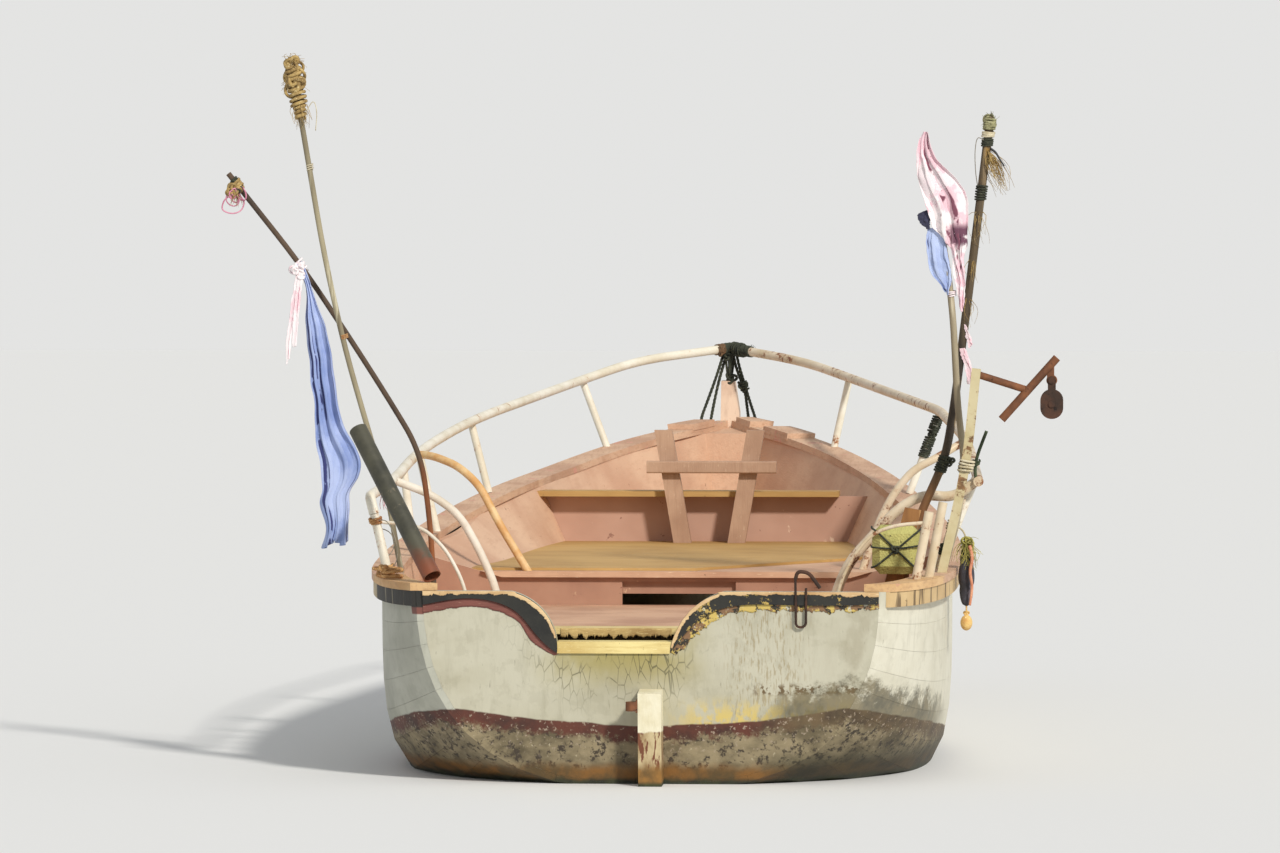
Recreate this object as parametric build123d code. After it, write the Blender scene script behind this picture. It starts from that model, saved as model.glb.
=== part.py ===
"""Open wooden fishing boat: a planked hull with a transom stern, inside decks, tube guard rails, poles and a hauling davit.

X is to starboard, Y forward and Z up, in millimetres. The origin is on the waterline, on the centreline, amidships.
"""
from build123d import *
import math
import os
from collections import namedtuple

# Fits between pieces
SEAT = 0.3
PIN_CLEARANCE = 0.05

# Hull
LENGTH = 5500
PLANK = 22
SEAM = 0.6
KEEL_HALF = 37.5
KEEL_BOTTOM = -380
FOREFOOT_RADIUS = 700
STEM_HALF = 36
STEM_DEPTH = 110
STEM_HEAD = 1160
STEM_BREAK = 120
STEM_SCARF_Y = 1450
KEELSON_HALF = 18
KEELSON_HEIGHT = 34
KEELSON_END = 900
STERNPOST_DEPTH = 120
STERNPOST_TOP = 310
TRANSOM_THICK = 40

# A station is a flat section of the hull. Its plane crosses the waterline at y and leans forward by rake.
# beam and sheer place the top plank's outer edge, low the garboard's, and full rounds the bilge.
Station = namedtuple("Station", "y rake beam sheer full low foot rub")
STATIONS = [
    Station(-2659, -0.1405, 757, 627, 2.4, -20, 38, 12),
    Station(-2260, -0.1000, 895, 631, 4.2, -80, 38, 26),
    Station(-1650, -0.0600, 943, 650, 5.4, -140, 38, 28),
    Station(-950, -0.0200, 925, 690, 4.4, -225, 38, 28),
    Station(-150, 0.0300, 825, 760, 3.5, -285, 38, 28),
    Station(600, 0.0900, 704, 815, 2.6, -295, 38, 28),
    Station(1250, 0.1700, 590, 850, 1.9, -275, 38, 28),
    Station(1750, 0.2400, 420, 905, 1.55, -228, 38, 28),
    Station(2110, 0.3100, 220, 953, 1.3, -130, 36, 26),
    Station(2383, 0.3640, 33, 983, 1.2, 0, 32, 10),
]
# Share of the girth at which each seam runs, from the keel to the sheer
SEAMS = [0, 0.13, 0.25, 0.36, 0.46, 0.55, 0.63, 0.70, 0.77, 0.84, 0.91, 1]
BOTTOM_STRAKES = 5

# Gunwale
CAP_THICK = 25
CAP_OVERHANG = 6
CAP_INBOARD = 70
CAP_MEET = 8
RUB_HEIGHT = 50

# Transom notch for an outboard motor, set to port, and the raised band along the transom's top edge
NOTCH_BOTTOM = 425
SILL_THICK = 38
NOTCH_PORT_SHOULDER = -451
NOTCH_PORT_CORNER = -303
NOTCH_STARBOARD_CORNER = 61
NOTCH_STARBOARD_SHOULDER = 354
BAND_THICK = 9
# The band's lower edge on each side, from the quarter to its tip at the notch, as x and z
BAND_EDGE_PORT = [(-780, 574), (-700, 590), (-600, 604), (-509, 595), (-432, 560), (-380, 500), (-336, 452), (-297, 424)]
BAND_EDGE_STARBOARD = [(780, 592), (660, 586), (520, 584), (380, 587), (270, 582), (195, 560), (140, 522), (100, 478),
                       (58, 424)]
SILL_DEPTH = 95

# Decks
DECK_BOARD = 20
BOARD_GAP = 3
STERN_DECK = 500
STERN_DECK_START = -2590
MID_DECK = 615
MID_DECK_END = 2200
BULKHEAD_Y = -1180
BULKHEAD_THICK = 24
LINING = 14
WELL_MARGIN = 60
BEAM_WIDE = 45
BEAM_HIGH = 60
SHEET_THICK = 9
SHEET_AFT = -1140

# The open well inside the linings: half-breadth at the top, and how far the lining runs inward for each unit down
Well = namedtuple("Well", "y top_half top_z slope")
STERN_WELL = [
    Well(-2600, 752, 634, 0.110),
    Well(-2200, 847, 641, 0.075),
    Well(-1700, 880, 656, 0.080),
    Well(-1182, 873, 682, 0.075),
]
MAIN_WELL = [
    Well(-1215, 874, 680, 3.340),
    Well(-750, 841, 720, 2.020),
    Well(-150, 758, 763, 1.107),
    Well(500, 673, 809, 0.621),
    Well(900, 606, 832, 0.447),
    Well(1450, 515, 860, 0.490),
    Well(1950, 362, 909, 0.468),
    Well(2250, 238, 941, 0.370),
    Well(2540, 84, 975, 0.130),
]

# Locker opening in the bulkhead, with its sliding board
LOCKER_PORT = -184
LOCKER_STARBOARD = 203
LOCKER_TOP = MID_DECK - 35
SLIDE_LOW = MID_DECK - 77
SLIDE_HIGH = MID_DECK - 25
SLIDE_THICK = 15

# Forward bulkhead, shelf and mooring bitts
FORE_BULKHEAD_Y = 900
FORE_BULKHEAD_THICK = 20
FORE_BULKHEAD_TOP = 790
SHELF_PORT = -640
SHELF_STARBOARD = 487
SHELF_AFT = 806
SHELF_WIDE = 125
SHELF_THICK = 20
BITT_Y = 750
BITT_WIDE = 64
BITT_THICK = 50
BITT_MIDDLE = 18
BITT_FOOT_X = 98
BITT_HEAD_X = 168
BITT_TOP = 1034
BITT_BAR_LOW = 879
BITT_BAR_HIGH = 923
BITT_BAR_THICK = 36
BITT_BAR_PORT = -208
BITT_BAR_STARBOARD = 263

# Timber inside the stem
APRON_LONG = 200

# Tubes of the guard rails
RAIL_RADIUS = 17
STANCHION_RADIUS = 13.5
HOOP_RADIUS = 13.5
THICK_HOOP_RADIUS = 17
THIN_HOOP_RADIUS = 6
QUARTER_POST_RADIUS = 15

# Hauling davit and its pulley block
DAVIT_Y = -2130
DAVIT_POST = 30
DAVIT_ARM_RADIUS = 12
DAVIT_BAR_RADIUS = 13.5
EYE_THICK = 8
EYE_RADIUS = 18
EYE_BORE = 7
CHEEK_WIDE = 75
CHEEK_HIGH = 97
CHEEK_THICK = 6
SHEAVE_RADIUS = 31
SHEAVE_THICK = 18
SHEAVE_GROOVE = 5
SHEAVE_GAP = 1
SHEAVE_BORE = 7
BLOCK_DROP = 78

# Poles, pipe and loose gear
PIPE_RADIUS = 30
PIPE_WALL = 3
TALL_POLE_RADIUS = 9
RAKING_POLE_RADIUS = 9
MAIN_POLE_RADIUS = 14
MAIN_POLE_Y = -1950
POLE_BOARD_THICK = 20
FLOAT_SIZE = (156, 118, 160)
FLOAT_X = 771
FLOAT_Z = 732
FLOAT_CHAMFER = 26
FLAG_POLE_RADIUS = 11
HOOK_ROD = 4
FENDER_RADIUS = 32
FENDER_LENGTH = 200
FENDER_PLACE = (1010, -1950, 640)
CLOTH_THICK = 30


def station_point(station, x, z):
    """A point of a station's plane."""
    return Vector(x, station.y + station.rake * z, z)


def girth(station):
    """Points down the station's outer line from the garboard to the sheer, closely spaced."""
    line = []
    for step in range(241):
        rise = (step / 240) ** 2
        spread = (1 - (1 - rise) ** station.full) ** (1 / station.full)
        x = station.foot + (station.beam - station.foot) * spread
        z = station.low + (station.sheer - station.low) * rise
        line.append((x, z))
    return line


def seam_points(station):
    """The seams' places on the station's outer line, each with the direction that points into the hull."""
    line = girth(station)
    run = [0]
    for (x0, z0), (x1, z1) in zip(line, line[1:]):
        run.append(run[-1] + math.hypot(x1 - x0, z1 - z0))
    points = []
    for share in SEAMS:
        goal = share * run[-1]
        index = next(i for i, length in enumerate(run) if length >= goal - 1e-9)
        index = max(1, index)
        (x0, z0), (x1, z1) = line[index - 1], line[index]
        part = (goal - run[index - 1]) / (run[index] - run[index - 1])
        points.append((x0 + (x1 - x0) * part, z0 + (z1 - z0) * part))
    return points


def chord_normals(points):
    """At each point the offset that keeps a layer one unit thick on both chords beside it, level at the sheer."""
    normals = []
    sides = []
    for (x0, z0), (x1, z1) in zip(points, points[1:]):
        length = math.hypot(x1 - x0, z1 - z0)
        sides.append((-(z1 - z0) / length, (x1 - x0) / length))
    for index in range(len(points)):
        before = sides[max(0, index - 1)]
        after = sides[min(len(sides) - 1, index)]
        bend = 1 + before[0] * after[0] + before[1] * after[1]
        normals.append(((before[0] + after[0]) / bend, (before[1] + after[1]) / bend))
    normals[-1] = (1 / sides[-1][0], 0)
    return normals


def loft(sections):
    """A smooth solid through closed sections of straight lines."""
    wires = [Wire.make_polygon(section, close=True) for section in sections]
    return Solid.make_loft(wires)


def port_of(solid):
    """The same piece on the port side."""
    return solid.mirror(Plane.YZ)


def strake(number):
    """One starboard plank, from the transom to the stem."""
    sections = []
    for station in STATIONS:
        points = seam_points(station)
        normals = chord_normals(points)
        (x0, z0), (x1, z1) = points[number], points[number + 1]
        length = math.hypot(x1 - x0, z1 - z0)
        ease = SEAM / 2 / length
        low_ease = 0 if number == 0 else ease
        high_ease = 0 if number == len(SEAMS) - 2 else ease
        corners = []
        for near, far, part in ((0, 0, low_ease), (0, 0, 1 - high_ease)):
            corners.append((x0 + (x1 - x0) * part, z0 + (z1 - z0) * part))
        inner = []
        for index, part in ((number, low_ease), (number + 1, 1 - high_ease)):
            nx, nz = normals[index]
            base = corners[index - number]
            inner.append((base[0] + nx * PLANK, base[1] + nz * PLANK))
        ring = [corners[0], corners[1], inner[1], inner[0]]
        sections.append([station_point(station, x, z) for x, z in ring])
    return loft(sections)


def inner_outline(station, clearance):
    """The hull's inside line at a station, on the starboard side, from the keel up."""
    points = seam_points(station)
    normals = chord_normals(points)
    depth = PLANK + clearance
    return [(x + nx * depth, z + nz * depth) for (x, z), (nx, nz) in zip(points, normals)]


def hull_core():
    """The whole space inside the planking, used only to trim beams and bulkheads."""
    sections = []
    for station in STATIONS:
        half = inner_outline(station, 2 * SEAT)
        ring = half + [(-x, z) for x, z in reversed(half)]
        sections.append([station_point(station, x, z) for x, z in ring])
    return loft(sections)


def cap_rail():
    """The flat board along the top of the starboard gunwale."""
    sections = []
    for station in STATIONS:
        outer = station.beam + station.rub + CAP_OVERHANG
        inner = max(station.beam - CAP_INBOARD, CAP_MEET)
        low = station.sheer + SEAT
        high = low + CAP_THICK
        ring = [(inner, low), (outer, low), (outer, high), (inner, high)]
        sections.append([station_point(station, x, z) for x, z in ring])
    return loft(sections)


def rub_rail():
    """The fascia under the cap, outside the top plank."""
    sections = []
    for station in STATIONS:
        line = girth(station)
        foot_z = station.sheer - RUB_HEIGHT
        foot_x = next(x for x, z in line if z >= foot_z)
        ring = [
            (foot_x + 2 * SEAT, foot_z),
            (foot_x + 2 * SEAT + station.rub, foot_z),
            (station.beam + 2 * SEAT + station.rub, station.sheer),
            (station.beam + 2 * SEAT, station.sheer),
        ]
        sections.append([station_point(station, x, z) for x, z in ring])
    return loft(sections)


def rabbet_points(drop):
    """Where the garboards meet the keel and stem, seen from the side, as (y, z)."""
    return [(s.y + s.rake * s.low, s.low - drop) for s in STATIONS]


def backbone_face():
    """Side outline of the keel and stem together."""
    top = rabbet_points(1.2)
    stern = STATIONS[0]
    bow = STATIONS[-1]
    aft_top = (stern.y + stern.rake * top[0][1] + SEAT, top[0][1])
    aft_low = (stern.y + stern.rake * KEEL_BOTTOM + SEAT, KEEL_BOTTOM)
    corner = (bow.y + STEM_DEPTH + bow.rake * KEEL_BOTTOM, KEEL_BOTTOM)
    head_fore = (bow.y + STEM_DEPTH + bow.rake * STEM_HEAD, STEM_HEAD)
    head_aft = (bow.y + SEAT + bow.rake * STEM_HEAD, STEM_HEAD)
    rabbet = Spline(*[aft_top, *top[1:-1], (top[-1][0] + SEAT, top[-1][1])])
    outer = FilletPolyline(aft_low, corner, head_fore, radius=FOREFOOT_RADIUS)
    sides = Line(rabbet @ 0, aft_low) + Line(head_fore, head_aft) + Line(head_aft, rabbet @ 1)
    return Plane.YZ * make_face(rabbet + outer + sides)


def keel_and_stem():
    """The keel and the stem with its forefoot, scarfed end to end."""
    face = backbone_face()
    keel = extrude(face, amount=KEEL_HALF, both=True)
    stem = extrude(face, amount=STEM_HALF, both=True)
    reach = 4 * LENGTH
    aft_side = Pos(0, STEM_SCARF_Y - reach / 2, 0) * Box(reach, reach, reach)
    fore_side = Pos(0, STEM_SCARF_Y + SEAT + reach / 2, 0) * Box(reach, reach, reach)
    stem = stem & fore_side
    high = STEM_HEAD + STEM_HALF
    broken = [(STEM_HALF / 4, high), (2 * STEM_HALF, high), (2 * STEM_HALF, STEM_HEAD - STEM_BREAK),
              (STEM_HALF, STEM_HEAD - STEM_BREAK)]
    wedge = extrude(Plane.XZ * make_face(Polyline(*broken, close=True)), amount=-reach)
    return keel & aft_side, stem - wedge


def keelson():
    """The timber on top of the keel, between the garboards."""
    top = [point for point in rabbet_points(0) if point[0] < KEELSON_END + 400]
    low_line = Polyline(*[(y, z - 20) for y, z in top])
    high_line = Spline(*[(y, z + KEELSON_HEIGHT) for y, z in top])
    ends = Line(low_line @ 0, high_line @ 0) + Line(low_line @ 1, high_line @ 1)
    timber = extrude(Plane.YZ * make_face(low_line + high_line + ends), amount=KEELSON_HALF, both=True)
    keel = extrude(backbone_face(), amount=KEEL_HALF, both=True)
    start = STATIONS[0].y + TRANSOM_THICK + 2
    span = KEELSON_END - start
    timber = timber & Pos(0, start + span / 2, 0) * Box(4 * KEEL_HALF, span, LENGTH)
    return timber - Pos(0, 0, SEAT) * keel


def sternpost():
    """The post behind the transom, down to the keel's end."""
    stern = STATIONS[0]
    def at(z, back):
        return (stern.y + stern.rake * z - back, z)
    near = SEAT
    ring = [at(KEEL_BOTTOM, near), at(STERNPOST_TOP, near), at(STERNPOST_TOP - 8, STERNPOST_DEPTH)]
    ring.append(at(KEEL_BOTTOM, STERNPOST_DEPTH))
    face = Plane.YZ * make_face(Polyline(*ring, close=True))
    return extrude(face, amount=KEEL_HALF, both=True)


def transom_plane():
    """The transom's raked aft plane. Its own second axis runs up the board."""
    stern = STATIONS[0]
    return Plane(origin=(0, stern.y, 0), x_dir=(1, 0, 0), z_dir=(0, -1, stern.rake))


def up_transom(z):
    """Height z as a distance up the raked board."""
    return z * math.hypot(1, STATIONS[0].rake)


def notch_face():
    """The motor notch with everything above the transom, flat in the transom's plane."""
    top = up_transom(STATIONS[0].sheer - 2 * SEAT)
    low = up_transom(NOTCH_BOTTOM)
    port_shoulder = (NOTCH_PORT_SHOULDER, top)
    port_corner = (NOTCH_PORT_CORNER, low)
    port_bulge = (-335, low + 0.62 * (top - low))
    starboard_corner = (NOTCH_STARBOARD_CORNER, low)
    starboard_shoulder = (NOTCH_STARBOARD_SHOULDER, top)
    starboard_bulge = (125, low + 0.68 * (top - low))
    sky = up_transom(STATIONS[0].sheer + 100)
    outline = (
        ThreePointArc(port_shoulder, port_bulge, port_corner)
        + Line(port_corner, starboard_corner)
        + ThreePointArc(starboard_corner, starboard_bulge, starboard_shoulder)
        + Polyline(starboard_shoulder, (1000, top), (1000, sky), (-1000, sky), (-1000, top), port_shoulder)
    )
    return make_face(outline)


def transom_outline():
    """The transom board inside the planks' ends, flat in its own plane."""
    half = inner_outline(STATIONS[0], SEAT)
    ring = half + [(-x, z) for x, z in reversed(half)]
    return make_face(Polyline(*[(x, up_transom(z)) for x, z in ring], close=True))


def transom():
    """The transom with its motor notch."""
    board = transom_outline() - notch_face()
    return extrude(transom_plane() * board, amount=TRANSOM_THICK, dir=(0, 1, 0))


def band_face(edge):
    """Everything above a band's lower edge, flat in the transom's plane."""
    high = up_transom(STATIONS[0].sheer + BAND_THICK)
    points = [(x, up_transom(z)) for x, z in edge]
    lower = Spline(*points)
    sides = Polyline(points[-1], (points[-1][0], high), (points[0][0], high), points[0])
    return make_face(lower + sides)


def transom_bands():
    """The raised band along the transom's top edge and down both sides of the notch, as two boards."""
    place = transom_plane().offset(SEAT)
    bands = []
    for edge in (BAND_EDGE_PORT, BAND_EDGE_STARBOARD):
        band = (transom_outline() & band_face(edge)) - notch_face()
        bands.append(largest(extrude(place * band, amount=BAND_THICK)))
    return bands


def notch_sill():
    """The board along the bottom of the notch."""
    stern = STATIONS[0]
    wide = NOTCH_STARBOARD_CORNER - NOTCH_PORT_CORNER + 40
    middle = (NOTCH_STARBOARD_CORNER + NOTCH_PORT_CORNER) / 2
    aft = stern.y + stern.rake * NOTCH_BOTTOM - BAND_THICK
    board = Pos(middle, aft + SILL_DEPTH / 2, NOTCH_BOTTOM + SILL_THICK / 2) * Box(wide, SILL_DEPTH, SILL_THICK)
    notch = offset(notch_face(), amount=-SEAT)
    start = Pos(0, -2 * SILL_DEPTH, 0) * (transom_plane() * notch)
    opening = extrude(start, amount=4 * SILL_DEPTH, dir=(0, 1, 0))
    return board & opening


def low_half(row, low_z):
    """Half-breadth of the well at its lower edge."""
    return row.top_half - row.slope * (row.top_z - low_z)


def well_volume(rows, low_z, clearance):
    """The space between the linings, from a little under the deck, used to trim boards to them."""
    base = low_z - WELL_MARGIN
    sections = []
    for row in rows:
        low = low_half(row, base)
        ring = [
            (low - clearance, base),
            (row.top_half - clearance, row.top_z),
            (-(row.top_half - clearance), row.top_z),
            (-(low - clearance), base),
        ]
        sections.append([Vector(x, row.y, z) for x, z in ring])
    return loft(sections)


def lining(rows, low_z):
    """The starboard inside skin, from under the cap down to the deck."""
    base = low_z - WELL_MARGIN
    sections = []
    for row in rows:
        low = low_half(row, base)
        wide = LINING * math.hypot(row.slope, 1)
        ring = [
            (low, base),
            (row.top_half, row.top_z),
            (row.top_half + wide, row.top_z),
            (low + wide, base),
        ]
        sections.append([Vector(x, row.y, z) for x, z in ring])
    return above(loft(sections), low_z - SEAT)


def deck_boards(start, end, count, top, volume):
    """Boards laid across the boat and trimmed to the linings."""
    pitch = (end - start) / count
    boards = []
    for index in range(count):
        middle = start + pitch * (index + 0.5)
        board = Pos(0, middle, top - DECK_BOARD / 2) * Box(2400, pitch - BOARD_GAP, DECK_BOARD)
        boards.append(board & volume)
    return boards


def deck_beams(places, deck_top, core):
    """Beams across the hull under a deck, trimmed to the planking."""
    beams = []
    for y in places:
        middle = deck_top - DECK_BOARD - SEAT - BEAM_HIGH / 2
        beams.append(Pos(0, y, middle) * Box(2400, BEAM_WIDE, BEAM_HIGH) & core)
    return beams


def locker_bulkhead(core):
    """The step between the decks, with the locker's opening."""
    first = MAIN_WELL[0]
    floor = STERN_DECK - DECK_BOARD - SEAT - BEAM_HIGH
    under_deck = MID_DECK - DECK_BOARD - SEAT
    half = [(low_half(first, under_deck), under_deck), (first.top_half, first.top_z), (first.top_half + 40, floor)]
    ring = half + [(-x, z) for x, z in reversed(half)]
    face = make_face(Polyline(*ring, close=True))
    wide = LOCKER_STARBOARD - LOCKER_PORT
    middle = (LOCKER_STARBOARD + LOCKER_PORT) / 2
    high = LOCKER_TOP - STERN_DECK
    face -= Pos(middle, STERN_DECK + high / 2) * Rectangle(wide, high)
    place = Plane(origin=(0, BULKHEAD_Y, 0), x_dir=(1, 0, 0), z_dir=(0, -1, 0))
    return extrude(place * face, amount=-BULKHEAD_THICK) & core


def sliding_board():
    """The board that half covers the locker's opening."""
    wide = LOCKER_STARBOARD - LOCKER_PORT + 30
    middle = (LOCKER_STARBOARD + LOCKER_PORT) / 2
    y = BULKHEAD_Y + BULKHEAD_THICK + SEAT + SLIDE_THICK / 2
    high = SLIDE_HIGH - SLIDE_LOW
    return Pos(middle, y, SLIDE_LOW + high / 2) * Box(wide, SLIDE_THICK, high)


def plywood_sheet(volume):
    """The sheet laid over the middle deck between the linings, cut askew at its aft starboard corner."""
    fore = FORE_BULKHEAD_Y - FORE_BULKHEAD_THICK / 2 - SEAT
    corners = [(-700, SHEET_AFT), (60, SHEET_AFT), (700, SHEET_AFT + 960), (700, fore), (-700, fore)]
    face = make_face(Polyline(*corners, close=True))
    return extrude(Pos(0, 0, MID_DECK + SEAT) * face, amount=SHEET_THICK) & volume


def fore_bulkhead(volume):
    """The bulkhead that carries the shelf, trimmed to the linings."""
    low = MID_DECK + SEAT
    high = FORE_BULKHEAD_TOP - low
    board = Pos(0, FORE_BULKHEAD_Y, low + high / 2) * Box(1600, FORE_BULKHEAD_THICK, high)
    return board & volume


def shelf(volume):
    """The board on top of the forward bulkhead."""
    wide = SHELF_STARBOARD - SHELF_PORT
    middle = (SHELF_STARBOARD + SHELF_PORT) / 2
    z = FORE_BULKHEAD_TOP + SEAT + SHELF_THICK / 2
    return Pos(middle, SHELF_AFT + SHELF_WIDE / 2, z) * Box(wide, SHELF_WIDE, SHELF_THICK) & volume


def bitt_posts():
    """Two mooring posts that lean apart."""
    posts = []
    for side in (-1, 1):
        foot = (BITT_MIDDLE + side * BITT_FOOT_X, MID_DECK + SHEET_THICK + 2 * SEAT)
        head = (BITT_MIDDLE + side * BITT_HEAD_X, BITT_TOP)
        half = BITT_WIDE / 2
        ring = [(foot[0] - half, foot[1]), (foot[0] + half, foot[1])]
        ring += [(head[0] + half, head[1]), (head[0] - half, head[1])]
        place = Plane(origin=(0, BITT_Y, 0), x_dir=(1, 0, 0), z_dir=(0, -1, 0))
        posts.append(extrude(place * make_face(Polyline(*ring, close=True)), amount=-BITT_THICK))
    return posts


def bitt_bar():
    """The crossbar on the after side of the mooring posts."""
    wide = BITT_BAR_STARBOARD - BITT_BAR_PORT
    middle = (BITT_BAR_STARBOARD + BITT_BAR_PORT) / 2
    high = BITT_BAR_HIGH - BITT_BAR_LOW
    y = BITT_Y - SEAT - BITT_BAR_THICK / 2
    return fillet(
        (Pos(middle, y, BITT_BAR_LOW + high / 2) * Box(wide, BITT_BAR_THICK, high)).edges().filter_by(Axis.X), 6
    )


def apron(core):
    """The timber inside the stem, between the ends of the linings."""
    last = MAIN_WELL[-1]
    low = MID_DECK - DECK_BOARD
    high = last.top_z + LINING
    place = Pos(0, last.y + SEAT + APRON_LONG / 2, (low + high) / 2)
    return place * Box(2 * APRON_LONG, APRON_LONG, high - low) & core


def bow_blocks(cap):
    """Short boards that lie on both caps near the bow."""
    blocks = []
    for row in BOW_BLOCKS:
        below = cap if row.side > 0 else port_of(cap)
        block = Pos(0, 0, row.thick - CAP_THICK) * (Pos(0, 0, CAP_THICK) * below)
        block = block & Pos(0, (row.start + row.end) / 2, 0) * Box(LENGTH, row.end - row.start, LENGTH)
        blocks.append(largest(block - below - Pos(0, 0, SEAT) * below))
    return blocks


def bend_radii(points):
    """The largest arc for each corner of a path."""
    radii = []
    for before, here, after in zip(points, points[1:], points[2:]):
        first = Vector(*here) - Vector(*before)
        second = Vector(*after) - Vector(*here)
        turn = math.radians(first.get_angle(second))
        shorter = min(first.length, second.length)
        radii.append(0.45 * shorter / math.tan(turn / 2))
    return radii


def rod(points, radius):
    """A round bar along a path of straight runs and arcs."""
    if len(points) == 2:
        path = Edge.make_line(points[0], points[1])
    else:
        path = FilletPolyline(*points, radius=bend_radii(points))
    start = Plane(origin=path @ 0, z_dir=path % 0)
    return sweep(start * Circle(radius), path=path)


# Short boards on the caps at the bow
BowBlock = namedtuple("BowBlock", "side start end thick")
BOW_BLOCKS = [
    BowBlock(-1, 2460, 2625, 20),
    BowBlock(1, 2545, 2690, 22),
    BowBlock(1, 2215, 2425, 18),
]

# How far the feet of tubes and poles are drawn into a deck before they are cut off on it
FOOT_DEPTH = 12

# Paths of the guard rails, from aft to the bow
PORT_RAIL = [
    (-922, -2400, 860), (-937, -2395, 917), (-915, -1750, 945), (-915, -750, 1008), (-820, 350, 1081),
    (-525, 2000, 1184), (-330, 2380, 1250), (20, 2840, 1290),
]
STARBOARD_RAIL = [
    (1039, -1885, 950), (985, -950, 1058), (895, -50, 1104), (866, 350, 1117),
    (487, 2000, 1193), (300, 2400, 1245), (-20, 2840, 1290),
]
PORT_STANCHIONS = [
    ((-880, -1350, 680), (-916, -1350, 970)),
    ((-850, -750, 722), (-915, -750, 1008)),
    ((-755, 350, 822), (-820, 350, 1081)),
    ((-428, 2000, 922), (-525, 2000, 1184)),
]
STARBOARD_STANCHIONS = [
    ((755, 350, 822), (866, 350, 1117)),
    ((428, 2000, 922), (487, 2000, 1193)),
    ((912, -1800, 660), (1029, -1800, 961)),
]
PORT_QUARTER_POSTS = [((-872, -2400, 645), (-921.9, -2400, 859.7))]
STARBOARD_QUARTER_POSTS = [
    ((845, -2450, 645), (889, -2450, 873)),
    ((884, -2350, 645), (932, -2350, 900)),
    ((905, -1950, 650), (985, -1950, 897)),
]
PORT_HOOPS = [
    (HOOP_RADIUS, [(-915, -860, 1001), (-850, -960, 1000), (-754, -1050, 968), (-676, -1100, 903),
                   (-611, -1130, 780), (-500, -1170, MID_DECK - FOOT_DEPTH)]),
    (HOOP_RADIUS, [(-915, -1750, 945), (-792, -1750, 900), (-697, -1750, 833), (-634, -1750, 725),
                   (-577, -1750, 599), (-553, -1750, STERN_DECK - FOOT_DEPTH)]),
    (THIN_HOOP_RADIUS, [(-917, -2400, 835), (-770, -2410, 822), (-690, -2410, 750), (-630, -2410, 640),
                        (-598, -2410, STERN_DECK - FOOT_DEPTH)]),
]
STARBOARD_HOOPS = [
    (HOOP_RADIUS, [(985, -950, 1058), (880, -1000, 996), (802, -1000, 957), (737, -1000, 879),
                   (686, -1000, 782), (625, -1000, MID_DECK - FOOT_DEPTH)]),
    (THICK_HOOP_RADIUS, [(1036, -1850, 954), (960, -1850, 896), (856, -1850, 905), (774, -1850, 860),
                         (700, -1850, 780), (617, -1850, 690), (573, -1850, 600), (547, -1850, STERN_DECK - FOOT_DEPTH)]),
    (THIN_HOOP_RADIUS, [(882, -2450, 838), (777, -2440, 828), (703, -2430, 800), (647, -2430, 735),
                        (598, -2430, 640), (572, -2430, STERN_DECK - FOOT_DEPTH)]),
]

# Poles, from foot to tip
TALL_POLE = [(-850, -2190, 650), (-900, -2190, 930), (-957, -2190, 1116), (-1036, -2190, 1390),
             (-1105, -2190, 1700), (-1212, -2190, 2335)]
RAKING_POLE = [(-744, -2110, STERN_DECK - FOOT_DEPTH), (-763, -2110, 823), (-794, -2110, 1053), (-912, -2110, 1246),
               (-1012, -2110, 1402), (-1186, -2110, 1664), (-1429, -2110, 1969)]
MAIN_POLE = [(773, MAIN_POLE_Y, STERN_DECK - FOOT_DEPTH), (812, MAIN_POLE_Y, 735), (852, MAIN_POLE_Y, 852),
             (931, MAIN_POLE_Y, 1028), (959, MAIN_POLE_Y, 1197), (1015, MAIN_POLE_Y, 1636),
             (1078, MAIN_POLE_Y, 2157)]
FLAG_POLE = [(925, -2050, 655), (973, -2050, 825), (998, -2050, 1010), (973, -2050, 1200),
             (954, -2050, 1580), (862, -2050, 2085)]
PIPE_LINE = [(-705, -2735, 671.9), (-970, -2450, 1136.5)]
DAVIT_POST_LINE = [(922, DAVIT_Y, 652), (1004, DAVIT_Y, 1012), (1036, DAVIT_Y, 1330)]
DAVIT_ARM = [(1036, DAVIT_Y, 1312), (1195, DAVIT_Y, 1262)]
DAVIT_BAR = [(1119, DAVIT_Y, 1163), (1300, DAVIT_Y, 1366)]
EYE_CENTRE = (1283, DAVIT_Y, 1292)


def largest(shape):
    """The biggest solid of a cut piece."""
    return max(shape.solids(), key=lambda solid: solid.volume)


def seated_on(piece, *boards):
    """A piece with its foot cut to the top of each board that it stands on."""
    for board in boards:
        piece = largest(piece - board - Pos(0, 0, SEAT) * board)
    return piece


def under(piece, *boards):
    """A piece with its top cut to the underside of each board above it."""
    for board in boards:
        piece = largest(piece - board - Pos(0, 0, -SEAT) * board)
    return piece


def coped(piece, *tubes):
    """A rod with its ends shaped to the sides of the tubes that it meets, each given as path and radius."""
    for path, radius in tubes:
        piece = largest(piece - rod(path, radius + SEAT))
    return piece


def above(piece, z):
    """The part of a piece above a height."""
    reach = 4 * LENGTH
    return piece & Pos(0, 0, z + SEAT + reach / 2) * Box(reach, reach, reach)


def half_rail(path, side):
    """One side's guard rail, up to the centreline at the bow."""
    reach = 4 * LENGTH
    half = Pos(side * (SEAT / 2 + reach / 2), 0, 0) * Box(reach, reach, reach)
    return largest(rod(path, RAIL_RADIUS) & half)


def write(name, *pieces):
    """Write one node's solids."""
    solids = [solid for piece in pieces for solid in piece.solids()]
    shape = solids[0] if len(solids) == 1 else Compound(children=solids)
    export_step(shape, f"parts/{name}.step")


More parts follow.
